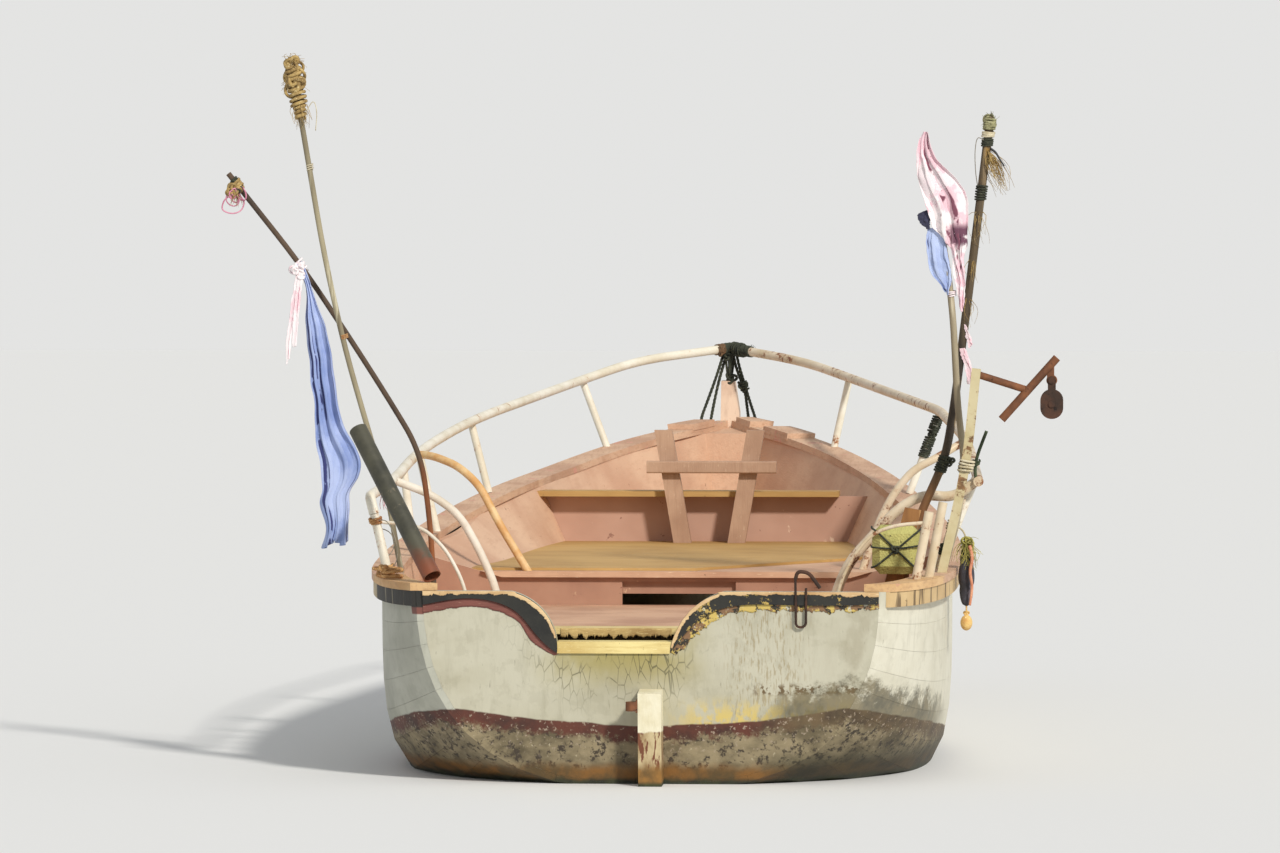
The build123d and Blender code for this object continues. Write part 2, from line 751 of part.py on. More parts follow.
def davit():
    """Post, arm with the diagonal bar, and the eye plate that carries the block."""
    path = FilletPolyline(*DAVIT_POST_LINE, radius=bend_radii(DAVIT_POST_LINE))
    start = Plane(origin=path @ 0, x_dir=(0, 1, 0), z_dir=path % 0)
    post = sweep(start * Rectangle(DAVIT_POST, DAVIT_POST), path=path)
    arm = rod(DAVIT_ARM, DAVIT_ARM_RADIUS) - Pos(0, 0, 0) * post
    arm = max(arm.solids(), key=lambda solid: solid.volume)
    bar = rod(DAVIT_BAR, DAVIT_BAR_RADIUS)
    place = Plane(origin=EYE_CENTRE, x_dir=(1, 0, 0), z_dir=(0, -1, 0))
    eye = extrude(place * (Circle(EYE_RADIUS) + Pos(-4, 25) * Rectangle(24, 50)), amount=EYE_THICK / 2, both=True)
    hole = extrude(place * Circle(EYE_BORE), amount=EYE_THICK, both=True)
    return post, arm, (bar + arm + (eye - hole)) - post


def block_shell():
    """Two cheeks with a strap to the eye, hung below the davit's bar."""
    x, y, z = EYE_CENTRE
    place = Plane(origin=(x, y, z - BLOCK_DROP), x_dir=(1, 0, 0), z_dir=(0, -1, 0))
    inner = SHEAVE_THICK / 2 + SHEAVE_GAP
    cheek = RectangleRounded(CHEEK_WIDE, CHEEK_HIGH, CHEEK_WIDE / 2 - 1)
    strap = Pos(0, BLOCK_DROP / 2 + 10) * Rectangle(26, BLOCK_DROP) + Pos(0, BLOCK_DROP) * Circle(14)
    outline = cheek + strap
    bore = Circle(SHEAVE_BORE - PIN_CLEARANCE)
    pin_hole = Pos(0, BLOCK_DROP) * Circle(EYE_BORE - PIN_CLEARANCE)
    plates = []
    for side in (-1, 1):
        low = place.offset(side * inner)
        plate = extrude(low * (outline - bore - pin_hole), amount=side * CHEEK_THICK)
        plates.append(plate)
    return plates


def block_pins():
    """The sheave's axle and the shackle pin, each with a head at both ends."""
    x, y, z = EYE_CENTRE
    long = SHEAVE_THICK + 2 * SHEAVE_GAP + 2 * CHEEK_THICK
    pins = []
    for height, bore in ((z - BLOCK_DROP, SHEAVE_BORE), (z, EYE_BORE)):
        place = Plane(origin=(x, y, height), x_dir=(1, 0, 0), z_dir=(0, -1, 0))
        pin = extrude(place * Circle(bore - PIN_CLEARANCE), amount=long / 2, both=True)
        for side in (-1, 1):
            head = place.offset(side * long / 2)
            pin += extrude(head * Circle(bore + 4), amount=side * 5)
        pins.append(pin)
    return pins


def sheave():
    """The grooved wheel of the block."""
    x, y, z = EYE_CENTRE
    half = SHEAVE_THICK / 2
    rim = SHEAVE_RADIUS
    ring = [(SHEAVE_BORE, -half), (rim, -half), (rim - SHEAVE_GROOVE, 0), (rim, half), (SHEAVE_BORE, half)]
    face = Plane.XY * make_face(Polyline(*ring, close=True))
    wheel = revolve(face, axis=Axis.Y)
    return Pos(x, y, z - BLOCK_DROP) * wheel


def pipe():
    """The hollow pipe that leans out over the port quarter."""
    path = Edge.make_line(PIPE_LINE[0], PIPE_LINE[1])
    start = Plane(origin=path @ 0, z_dir=path % 0)
    return sweep(start * (Circle(PIPE_RADIUS) - Circle(PIPE_RADIUS - PIPE_WALL)), path=path)


def pole_board():
    """The board at the foot of the main pole."""
    place = Plane(origin=(0, MAIN_POLE_Y - MAIN_POLE_RADIUS - SEAT, 0), x_dir=(1, 0, 0), z_dir=(0, -1, 0))
    ring = [(700, STERN_DECK + SEAT), (758, STERN_DECK + SEAT), (852, 858), (798, 868)]
    return extrude(place * make_face(Polyline(*ring, close=True)), amount=POLE_BOARD_THICK)


def foam_float():
    """The block of foam lashed against the pole's board, with its corners cut off."""
    wide, deep, high = FLOAT_SIZE
    y = MAIN_POLE_Y - MAIN_POLE_RADIUS - POLE_BOARD_THICK - 2 * SEAT - deep / 2
    block = Pos(FLOAT_X, y, FLOAT_Z) * Box(wide, deep, high)
    return chamfer(block.edges(), FLOAT_CHAMFER)


def transom_hook():
    """The forked hook of round bar on the transom's aft face."""
    stern = STATIONS[0]
    def at(x, z):
        return (x, stern.y + stern.rake * z - BAND_THICK - HOOK_ROD - 2 * SEAT, z)
    fork = rod([at(467, 668), at(468, 512), at(500, 514), at(501, 640)], HOOK_ROD)
    horn = rod([at(467, 668), at(474, 694), at(510, 690), at(546, 640)], HOOK_ROD + 2)
    return fork + horn


def fender(cap):
    """The stuffed roll that hangs against the starboard gunwale."""
    roll = Cylinder(FENDER_RADIUS, FENDER_LENGTH)
    roll = Pos(*FENDER_PLACE) * fillet(roll.edges(), FENDER_RADIUS * 0.6)
    return Pos(SEAT - roll.distance_to(cap), 0, 0) * roll


def cloth(outline, y):
    """A hanging cloth as a plain slab, its outline in x and z."""
    place = Plane(origin=(0, y, 0), x_dir=(1, 0, 0), z_dir=(0, -1, 0))
    return extrude(place * make_face(Polyline(*outline, close=True)), amount=CLOTH_THICK)


BLUE_CLOTH = [(-1186, 1674), (-1150, 1560), (-1070, 1270), (-975, 1045), (-1020, 890), (-1028, 745),
              (-1115, 745), (-1118, 890), (-1150, 1045), (-1165, 1270), (-1158, 1560)]
PINK_CLOTH = [(848, 2105), (905, 2080), (985, 1900), (1005, 1745), (985, 1500), (965, 1500), (880, 1740),
              (845, 1900)]


def gudgeon():
    """The rusty strap at the top of the sternpost, with its ring."""
    stern = STATIONS[0]
    y = stern.y + stern.rake * STERNPOST_TOP - STERNPOST_DEPTH / 2
    low = STERNPOST_TOP - 70
    plate = Pos(-KEEL_HALF - SEAT - 3, y, low + 20) * Box(6, STERNPOST_DEPTH - 10, 40)
    ring = Pos(-KEEL_HALF - SEAT - 3 - 16, y - 40, low + 20) * (Cylinder(20, 30) - Cylinder(12, 40))
    return plate + (ring - Pos(-KEEL_HALF - SEAT + 20, y, low + 20) * Box(40, 400, 200))


def build():
    """Make every piece and write it."""
    os.makedirs("parts", exist_ok=True)
    strakes = [strake(number) for number in range(len(SEAMS) - 1)]
    bottom, topsides = strakes[:BOTTOM_STRAKES], strakes[BOTTOM_STRAKES:]
    write("bottom_planks_starboard", *bottom)
    write("bottom_planks_port", *[port_of(piece) for piece in bottom])
    write("topside_planks_starboard", *topsides)
    write("topside_planks_port", *[port_of(piece) for piece in topsides])
    core = hull_core()
    keel, stem = keel_and_stem()
    write("keel", keel)
    write("stem", stem)
    write("keelson", keelson())
    write("sternpost", sternpost())
    write("gudgeon", gudgeon())
    cap = cap_rail()
    rub = rub_rail()
    write("cap_rail_starboard", cap)
    write("cap_rail_port", port_of(cap))
    write("rub_rail_starboard", rub)
    write("rub_rail_port", port_of(rub))
    write("transom", transom())
    band_port, band_starboard = transom_bands()
    write("transom_band_port", band_port)
    write("transom_band_starboard", band_starboard)
    write("notch_sill", notch_sill())

    stern_low = STERN_DECK - DECK_BOARD
    main_low = MID_DECK - DECK_BOARD
    stern_well = well_volume(STERN_WELL, stern_low, SEAT)
    main_well = well_volume(MAIN_WELL, main_low, SEAT) & core
    stern_lining = lining(STERN_WELL, stern_low)
    main_lining = lining(MAIN_WELL, main_low)
    fore_side = Pos(0, BULKHEAD_Y + BULKHEAD_THICK + SEAT + 2 * LENGTH, 0) * Box(4 * LENGTH, 4 * LENGTH, 4 * LENGTH)
    main_lining = under(largest(main_lining & fore_side & core), cap)
    stern_lining = under(largest(stern_lining & core), cap)
    write("stern_lining_starboard", stern_lining)
    write("stern_lining_port", port_of(stern_lining))
    write("lining_starboard", main_lining)
    write("lining_port", port_of(main_lining))
    write("stern_deck", *deck_boards(STERN_DECK_START, BULKHEAD_Y - SEAT, 9, STERN_DECK, stern_well))
    write("middle_deck", *deck_boards(BULKHEAD_Y - 25, MID_DECK_END, 20, MID_DECK, main_well))
    write("stern_deck_beams", *deck_beams((-2400, -1900, -1400), STERN_DECK, core))
    write("middle_deck_beams", *deck_beams((-900, -200, 500, 1200, 1800), MID_DECK, core))
    bulkhead = locker_bulkhead(core) - above(well_volume(MAIN_WELL, main_low, 0), main_low - SEAT)
    write("locker_bulkhead", under(bulkhead, cap, port_of(cap)))
    write("sliding_board", sliding_board())
    write("plywood_sheet", plywood_sheet(main_well))
    write("forward_bulkhead", fore_bulkhead(main_well))
    write("shelf", shelf(main_well))
    write("bitt_posts", *bitt_posts())
    write("bitt_bar", bitt_bar())
    write("apron", under(apron(core), cap, port_of(cap)))
    write("bow_blocks", *bow_blocks(cap))

    port_cap = port_of(cap)
    write("rail_port", half_rail(PORT_RAIL, -1))
    write("rail_starboard", half_rail(STARBOARD_RAIL, 1))
    posts = [rod(line, STANCHION_RADIUS) for line in PORT_STANCHIONS]
    posts += [rod(line, QUARTER_POST_RADIUS) for line in PORT_QUARTER_POSTS]
    rail = (PORT_RAIL, RAIL_RADIUS)
    write("stanchions_port", *[seated_on(coped(post, rail), port_cap) for post in posts])
    post_tubes = [(line, QUARTER_POST_RADIUS) for line in PORT_QUARTER_POSTS]
    port_lining = port_of(main_lining)
    hoops = [coped(rod(line, radius), rail, *post_tubes) for radius, line in PORT_HOOPS]
    hoops = [above(hoops[0], MID_DECK), above(hoops[1], STERN_DECK), above(hoops[2], STERN_DECK)]
    write("hoops_port", *[seated_on(hoop, port_lining) for hoop in hoops])
    rail = (STARBOARD_RAIL, RAIL_RADIUS)
    posts = [rod(line, STANCHION_RADIUS) for line in STARBOARD_STANCHIONS]
    write("stanchions_starboard", *[seated_on(coped(post, rail), cap) for post in posts])
    posts = [rod(line, QUARTER_POST_RADIUS) for line in STARBOARD_QUARTER_POSTS]
    write("quarter_posts_starboard", *[seated_on(post, cap) for post in posts])
    post_tubes = [(line, QUARTER_POST_RADIUS) for line in STARBOARD_QUARTER_POSTS]
    hoops = [coped(rod(line, radius), rail, *post_tubes) for radius, line in STARBOARD_HOOPS]
    hoops = [above(hoops[0], MID_DECK), above(hoops[1], STERN_DECK), above(hoops[2], STERN_DECK)]
    write("hoops_starboard", *[seated_on(hoop, main_lining) for hoop in hoops])

    post, arm, bar = davit()
    write("davit_post", seated_on(post, cap))
    write("davit_bar", bar)
    write("block_shell", *block_shell())
    write("block_pins", *block_pins())
    write("sheave", sheave())
    write("pipe", pipe())
    write("pole_port_tall", seated_on(rod(TALL_POLE, TALL_POLE_RADIUS), port_cap))
    write("pole_port_raking", above(rod(RAKING_POLE, RAKING_POLE_RADIUS), STERN_DECK))
    write("pole_starboard_main", above(rod(MAIN_POLE, MAIN_POLE_RADIUS), STERN_DECK))
    write("pole_starboard_flag", seated_on(rod(FLAG_POLE, FLAG_POLE_RADIUS), cap))
    write("pole_board", pole_board())
    write("foam_float", seated_on(foam_float(), cap))
    write("transom_hook", transom_hook())
    write("fender", fender(cap))
    blue = cloth(BLUE_CLOTH, -2110 - RAKING_POLE_RADIUS - SEAT)
    write("blue_cloth", blue)
    pink = cloth(PINK_CLOTH, -2050 - FLAG_POLE_RADIUS - SEAT)
    write("pink_cloth", pink)


build()
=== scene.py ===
"""Looks of the open wooden fishing boat: worn paint, hung cloths, ropes, straw tufts and lashings."""
import math
import random
import bpy
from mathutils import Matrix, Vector, noise


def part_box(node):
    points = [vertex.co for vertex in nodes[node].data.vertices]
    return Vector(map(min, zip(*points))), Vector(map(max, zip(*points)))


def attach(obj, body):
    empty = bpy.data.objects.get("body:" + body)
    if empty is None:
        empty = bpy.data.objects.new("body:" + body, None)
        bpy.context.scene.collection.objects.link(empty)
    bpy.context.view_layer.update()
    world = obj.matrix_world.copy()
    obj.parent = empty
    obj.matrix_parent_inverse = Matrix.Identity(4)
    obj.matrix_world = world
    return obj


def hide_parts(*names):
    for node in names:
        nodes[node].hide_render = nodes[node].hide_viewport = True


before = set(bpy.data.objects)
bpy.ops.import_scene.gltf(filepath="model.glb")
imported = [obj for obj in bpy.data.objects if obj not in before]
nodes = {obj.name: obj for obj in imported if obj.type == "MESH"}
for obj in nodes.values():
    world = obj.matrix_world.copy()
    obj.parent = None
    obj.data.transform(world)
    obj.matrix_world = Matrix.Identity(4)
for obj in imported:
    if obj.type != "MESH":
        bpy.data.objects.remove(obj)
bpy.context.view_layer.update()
HULL = "hull"


def srgb(red, green, blue):
    """A colour as it looks on a screen, from 0 to 255, in Blender's linear form."""
    def line(value):
        value = value / 255
        return value / 12.92 if value <= 0.04045 else ((value + 0.055) / 1.055) ** 2.4
    return (line(red), line(green), line(blue), 1.0)


def tint(colour):
    """A socket as it is, and three numbers from 0 to 255 as a colour."""
    return srgb(*colour) if isinstance(colour, tuple) else colour


# Materials

class Paint:
    """One procedural material, whose coordinates are the boat's own, in metres."""

    def __init__(self, name):
        self.material = bpy.data.materials.new(name)
        self.material.use_nodes = True
        self.tree = self.material.node_tree
        self.shader = self.tree.nodes["Principled BSDF"]
        self.place = self.tree.nodes.new("ShaderNodeTexCoord").outputs["Object"]
        split = self.add("ShaderNodeSeparateXYZ", Vector=self.place)
        self.x, self.y, self.z = split.outputs

    def join(self, socket, value):
        """Links a socket, or sets a plain value."""
        if isinstance(value, bpy.types.NodeSocket):
            self.tree.links.new(value, socket)
        else:
            socket.default_value = value

    def add(self, kind, **inputs):
        """A new node with its inputs set by name."""
        node = self.tree.nodes.new(kind)
        for key, value in inputs.items():
            self.join(node.inputs[key.replace("_", " ")], value)
        return node

    def math(self, operation, *values):
        """One step of arithmetic."""
        node = self.tree.nodes.new("ShaderNodeMath")
        node.operation = operation
        for socket, value in zip(node.inputs, values):
            self.join(socket, value)
        return node.outputs[0]

    def times(self, *values):
        """The product of two or more values."""
        product = values[0]
        for value in values[1:]:
            product = self.math("MULTIPLY", product, value)
        return product

    def plus(self, one, two):
        """The sum of two values."""
        return self.math("ADD", one, two)

    def scaled(self, value, factor, offset):
        """A value times a factor, plus an offset."""
        return self.math("MULTIPLY_ADD", value, factor, offset)

    def noise(self, scale, stretch=(1, 1, 1), shift=(0, 0, 0), detail=4.0, rough=0.6):
        """Noise from 0 to 1. A small stretch number draws it out along that axis."""
        at = self.add("ShaderNodeMapping", Vector=self.place, Scale=stretch, Location=shift).outputs[0]
        node = self.add("ShaderNodeTexNoise", Vector=at, Scale=scale, Detail=detail, Roughness=rough)
        return node.outputs["Fac"]

    def cells(self, scale, stretch=(1, 1, 1), feature="F1"):
        """Distance to cell centres or edges."""
        at = self.add("ShaderNodeMapping", Vector=self.place, Scale=stretch).outputs[0]
        node = self.tree.nodes.new("ShaderNodeTexVoronoi")
        node.feature = feature
        self.join(node.inputs["Vector"], at)
        self.join(node.inputs["Scale"], scale)
        return node.outputs["Distance"]

    def step(self, value, low, high):
        """0 at low and 1 at high, smooth between."""
        node = self.tree.nodes.new("ShaderNodeMapRange")
        node.interpolation_type = "SMOOTHSTEP"
        for name, number in (("Value", value), ("From Min", low), ("From Max", high)):
            self.join(node.inputs[name], number)
        return node.outputs["Result"]

    def mix(self, amount, under, over):
        """One colour laid over another by an amount from 0 to 1."""
        node = self.tree.nodes.new("ShaderNodeMix")
        node.data_type = "RGBA"
        self.join(node.inputs[0], amount)
        self.join(node.inputs[6], tint(under))
        self.join(node.inputs[7], tint(over))
        return node.outputs[2]

    def vary(self, colour, dark, scale=3.0, stretch=(1, 1, 1), shift=(0, 0, 0), low=0.35, high=0.7):
        """A colour that drifts towards a second one in soft patches."""
        return self.mix(self.step(self.noise(scale, stretch, shift), low, high), colour, dark)

    def specks(self, colour, over, scale, low=0.62, high=0.66, stretch=(1, 1, 1), shift=(0, 0, 0),
               detail=5.0):
        """A colour with sharp-edged flakes of another."""
        return self.mix(self.step(self.noise(scale, stretch, shift, detail, 0.7), low, high), colour, over)

    def finish(self, colour, rough, height=None, strength=0.5, distance=0.003, metal=0.0):
        """Sets the colour, the roughness and a fine relief."""
        self.join(self.shader.inputs["Base Color"], colour)
        self.join(self.shader.inputs["Roughness"], rough)
        self.shader.inputs["Metallic"].default_value = metal
        if height is not None:
            bump = self.add("ShaderNodeBump", Height=height, Strength=strength, Distance=distance)
            self.tree.links.new(bump.outputs[0], self.shader.inputs["Normal"])
        return self.material


GRAIN_ACROSS = (1, 12, 12)
GRAIN_ALONG = (12, 1, 12)
DRIPS = (9, 9, 0.8)
THIN_DRIPS = (6, 6, 0.5)


def hull_paint(name, tone=(196, 191, 170), dull=(176, 172, 150), aft=False, drip=0.5, corner=None):
    """White topsides over dark maroon bottom paint, with fouling by the waterline."""
    p = Paint(name)
    white = p.vary(tone, dull, 2.5, (1, 1, 1.6))
    grime = tuple(value - 34 for value in dull)
    white = p.mix(p.times(p.step(p.noise(4, DRIPS, (3, 1, 0)), 0.50, 0.78), drip * 0.7), white, grime)
    white = p.mix(p.times(p.step(p.noise(15, THIN_DRIPS, (7, 5, 0)), 0.66, 0.72), drip), white,
                  (104, 96, 78))
    white = p.mix(p.times(p.step(p.noise(16, detail=6.0), 0.52, 0.60), 0.16), white, grime)
    white = p.specks(white, (112, 100, 80), 46, 0.735, 0.755)
    if aft:
        white = transom_marks(p, white)
    if corner == "port":
        end = p.step(p.y, -2.700, -2.708)
        dark = p.mix(p.step(p.z, 0.570, 0.576), (120, 72, 62), (36, 35, 31))
        white = p.mix(p.times(end, p.step(p.z, 0.548, 0.553)), white, dark)
    run = p.plus(p.y, 2.75)
    fall = p.math("POWER", 2.718, p.times(run, -0.77))
    edge = p.scaled(fall, 0.22, 0.035)
    if aft:
        half = p.math("MINIMUM", p.math("ABSOLUTE", p.x), 0.66)
        edge = p.scaled(p.times(half, half), 0.14, 0.192)
    wobble = p.scaled(p.noise(7), 0.02, -0.010)
    below = p.math("SUBTRACT", p.plus(edge, wobble), p.z)
    starboard = p.step(p.x, 0.30, 0.48)
    dirt = p.times(starboard, p.scaled(p.noise(13, detail=7.0, rough=0.75), 0.30, -0.085))
    haze = p.step(p.plus(below, dirt), -0.040, 0.020)
    far = p.step(p.y, -1.7, -2.3)
    white = p.mix(p.times(haze, starboard, far, 0.85), white, p.vary((116, 104, 74), (72, 68, 50), 16))
    maroon = p.vary((92, 46, 32), (56, 32, 24), 9)
    maroon = p.mix(p.times(starboard, 0.85), maroon, p.vary((104, 88, 60), (66, 56, 38), 12))
    fouling = p.vary((146, 132, 102), (84, 74, 52), 8, (1, 1, 1.4))
    fouling = p.specks(fouling, (58, 48, 36), 38, 0.52, 0.60)
    fouling = p.specks(fouling, (178, 166, 138), 60, 0.64, 0.70)
    ragged = p.scaled(p.noise(15, detail=7.0, rough=0.8), 0.15, -0.075)
    depth = p.plus(below, ragged)
    low = p.mix(p.step(depth, 0.030, 0.060), maroon, fouling)
    speck = p.times(p.step(p.noise(75, detail=3.0), 0.60, 0.66), p.step(below, 0.15, 0.04))
    low = p.mix(p.times(speck, 0.8), low, (166, 150, 130))
    height = p.plus(p.z, p.scaled(p.noise(6, shift=(1, 4, 0)), 0.05, -0.025))
    low = p.mix(p.step(height, 0.080, 0.040), low, p.vary((124, 84, 32), (80, 62, 30), 14))
    shade = p.times(starboard, p.step(height, 0.150, 0.045), 0.78)
    low = p.mix(shade, low, p.vary((58, 54, 32), (36, 37, 22), 14))
    low = p.mix(p.step(height, 0.028, 0.006), low, p.vary((48, 52, 24), (26, 29, 15), 16))
    colour = p.mix(p.step(below, -0.002, 0.004), white, low)
    grain = p.plus(p.noise(30, (1, 1, 0.4), detail=6.0), p.times(p.step(below, 0, 0.02), p.noise(60)))
    return p.finish(colour, 0.62, grain, 0.4, 0.003)


def transom_marks(p, white):
    """The transom's marks: yellow and cracks under the sill, streaks under the hook, brown by the corner."""
    width = p.math("ABSOLUTE", p.plus(p.x, 0.10))
    under_sill = p.times(p.step(width, 0.34, 0.12), p.step(p.z, 0.27, 0.42))
    stain = p.times(under_sill, p.step(p.noise(6, (1, 1, 0.6), (2, 2, 2)), 0.34, 0.62))
    white = p.mix(p.times(stain, 0.8), white, (156, 142, 70))
    cracks = p.step(p.cells(46, (1, 1, 0.34), "DISTANCE_TO_EDGE"), 0.06, 0.01)
    crazed = p.times(cracks, p.step(p.noise(9, shift=(4, 0, 1)), 0.44, 0.58))
    reach = p.times(p.step(width, 0.46, 0.10), p.step(p.z, 0.20, 0.36))
    white = p.mix(p.times(crazed, reach, 0.7), white, (74, 72, 50))
    beside = p.times(p.step(p.x, 0.20, 0.30), p.step(p.x, 0.56, 0.42))
    runs = p.step(p.noise(34, (5, 5, 0.35), (1, 3, 0), 4.0), 0.52, 0.62)
    white = p.mix(p.times(runs, beside, 0.5), white, (140, 118, 74))
    low_side = p.times(p.step(p.x, 0.02, 0.20), p.step(p.z, 0.30, 0.215))
    white = p.mix(p.times(low_side, p.step(p.noise(20, (2, 2, 1), detail=6.0), 0.42, 0.56)), white,
                  (206, 184, 110))
    line = p.times(p.step(p.z, 0.285, 0.300), p.step(p.z, 0.335, 0.312))
    dots = p.times(line, p.step(p.x, 0.30, 0.36), p.step(p.noise(44, detail=5.0), 0.50, 0.56))
    white = p.mix(dots, white, (104, 84, 56))
    corner = p.times(p.step(p.x, 0.50, 0.70), p.step(p.noise(11, (1, 1, 0.5)), 0.48, 0.66))
    return p.mix(p.times(corner, 0.28), white, (126, 112, 82))


def wood_paint(name, colour, dark, worn, grain=GRAIN_ACROSS, scale=5, wear=0.62, rough=0.7, stain=None):
    """Old paint on boards: soft patches, streaks with the grain and worn flakes."""
    p = Paint(name)
    tone = p.vary(colour, dark, scale * 0.5)
    tone = p.mix(p.times(p.step(p.noise(scale, grain, (2, 3, 1)), 0.45, 0.75), 0.55), tone, dark)
    tone = p.specks(tone, worn, scale * 4, wear, wear + 0.05, grain)
    if stain is not None:
        tone = p.specks(tone, stain, scale * 7, 0.67, 0.70)
    height = p.noise(scale * 3, grain, detail=6.0)
    return p.finish(tone, rough, height, 0.5, 0.003)


def nailed_paint(name, colour, dark, streak, amount=0.55):
    """Cream paint on a rubbing strake, with dark vertical streaks from its nails."""
    p = Paint(name)
    tone = p.vary(colour, dark, 4)
    lines = p.step(p.noise(26, (1, 1, 0.12), (1, 2, 0), 3.0), amount, amount + 0.07)
    tone = p.mix(p.times(lines, 0.85), tone, streak)
    tone = p.specks(tone, (118, 92, 60), 30, 0.66, 0.69)
    return p.finish(tone, 0.65, p.noise(30, (1, 1, 0.3), detail=6.0), 0.5, 0.004)


def band_paint(name, flake, amount):
    """Black band paint that flakes to yellow and white, more so towards its lower edge."""
    p = Paint(name)
    tone = p.vary((40, 39, 33), (25, 25, 23), 8)
    low = p.times(p.step(p.z, 0.612, 0.592), 0.03)
    patchy = p.plus(p.noise(22, detail=6.0, rough=0.75), low)
    tone = p.mix(p.step(patchy, amount, amount + 0.03), tone, flake)
    pale = p.plus(p.noise(30, shift=(3, 1, 0), detail=6.0, rough=0.75), low)
    tone = p.mix(p.step(pale, amount + 0.05, amount + 0.08), tone, (206, 196, 160))
    return p.finish(tone, 0.6, p.noise(34, detail=6.0), 0.6, 0.004)


def tube_paint(name, colour, rust, amount, scale=26):
    """White paint on steel tube, with fine rust that bleeds through."""
    p = Paint(name)
    tone = p.vary(colour, (colour[0] - 20, colour[1] - 24, colour[2] - 32), 7)
    patch = p.step(p.noise(3.5, shift=(2, 5, 1)), 0.38, 0.66)
    level = p.scaled(patch, 0.12, p.noise(scale, detail=7.0, rough=0.72))
    rusty = p.step(level, amount, amount + 0.05)
    stain = p.step(level, amount - 0.08, amount + 0.04)
    tone = p.mix(p.times(stain, 0.45), tone, (rust[0] + 34, rust[1] + 44, rust[2] + 44))
    tone = p.mix(rusty, tone, p.vary(rust, (rust[0] - 44, rust[1] - 34, rust[2] - 20), 40))
    rough = p.scaled(rusty, 0.35, 0.45)
    return p.finish(tone, rough, p.plus(p.noise(70, detail=5.0), rusty), 0.4, 0.0012)


def iron(name, colour, light, scale=14):
    """Rusty iron."""
    p = Paint(name)
    tone = p.vary(colour, light, scale)
    tone = p.specks(tone, (34, 24, 20), scale * 3, 0.60, 0.66)
    return p.finish(tone, 0.78, p.noise(90, detail=6.0), 0.6, 0.002, 0.35)


def bark(name, colour, dark, light):
    """A weathered pole, streaked along its length."""
    p = Paint(name)
    tone = p.vary(colour, dark, 12, (1, 1, 0.12))
    tone = p.mix(p.step(p.noise(34, (1, 1, 0.06), (2, 0, 1)), 0.55, 0.7), tone, light)
    return p.finish(tone, 0.8, p.noise(60, (1, 1, 0.08), detail=6.0), 0.7, 0.002)


def cap_paint():
    """The caps: salmon like the inside, and bare tan round the stern corners."""
    p = Paint("cap_paint")
    salmon = p.vary((214, 178, 148), (190, 150, 122), 5)
    tan = p.vary((222, 184, 134), (192, 148, 98), 5)
    tone = p.mix(p.step(p.y, -2.24, -2.32), salmon, tan)
    tone = p.mix(p.times(p.step(p.noise(7, GRAIN_ALONG, (2, 3, 1)), 0.45, 0.75), 0.5), tone, (170, 128, 98))
    tone = p.specks(tone, (206, 150, 130), 9, 0.60, 0.66, shift=(5, 5, 5))
    tone = p.specks(tone, (132, 92, 66), 32, 0.68, 0.71)
    return p.finish(tone, 0.7, p.noise(20, GRAIN_ALONG, detail=6.0), 0.5, 0.003)


def stern_deck_paint():
    """Salmon boards, worn to cream along the edge at the notch."""
    p = Paint("stern_boards")
    salmon = p.vary((214, 172, 140), (184, 140, 112), 3)
    salmon = p.mix(p.times(p.step(p.noise(5, GRAIN_ACROSS, (2, 3, 1)), 0.45, 0.75), 0.5), salmon,
                   (170, 126, 98))
    salmon = p.specks(salmon, (100, 70, 54), 32, 0.67, 0.70)
    cream = p.vary((226, 206, 146), (204, 176, 112), 6)
    cream = p.mix(p.step(p.noise(12, (1, 14, 14), (4, 1, 2), 6.0, 0.75), 0.60, 0.64), cream, (84, 72, 46))
    tone = p.mix(p.step(p.plus(p.y, p.times(p.noise(8), 0.05)), -2.42, -2.47), salmon, cream)
    return p.finish(tone, 0.7, p.noise(15, GRAIN_ACROSS, detail=6.0), 0.5, 0.003)


def pole_paint():
    """The starboard pole: dark grey-brown, with an ochre foot."""
    p = Paint("pole_main")
    dark = p.vary((88, 74, 54), (50, 42, 34), 12, (1, 1, 0.2))
    dark = p.mix(p.step(p.noise(16, (1, 1, 0.5), (3, 0, 2), 5.0), 0.56, 0.62), dark, (146, 114, 58))
    ochre = p.vary((156, 112, 66), (112, 74, 44), 9, (1, 1, 0.15))
    tone = p.mix(p.step(p.z, 1.02, 0.86), dark, ochre)
    tone = p.mix(p.step(p.noise(34, (1, 1, 0.06), (2, 0, 1)), 0.56, 0.70), tone, (142, 122, 92))
    return p.finish(tone, 0.8, p.noise(60, (1, 1, 0.08), detail=6.0), 0.7, 0.002)


def raking_paint():
    """The raking pole: dark brown above, rusty orange-brown near its foot."""
    p = Paint("pole_dark")
    dark = p.vary((86, 68, 52), (52, 42, 34), 10, (1, 1, 0.15))
    rusty = p.vary((140, 84, 46), (84, 50, 32), 12, (1, 1, 0.3))
    tone = p.mix(p.step(p.z, 1.04, 0.98), dark, rusty)
    tone = p.mix(p.step(p.z, 0.72, 0.64), tone, dark)
    return p.finish(tone, 0.8, p.noise(70, (1, 1, 0.1), detail=6.0), 0.6, 0.002)


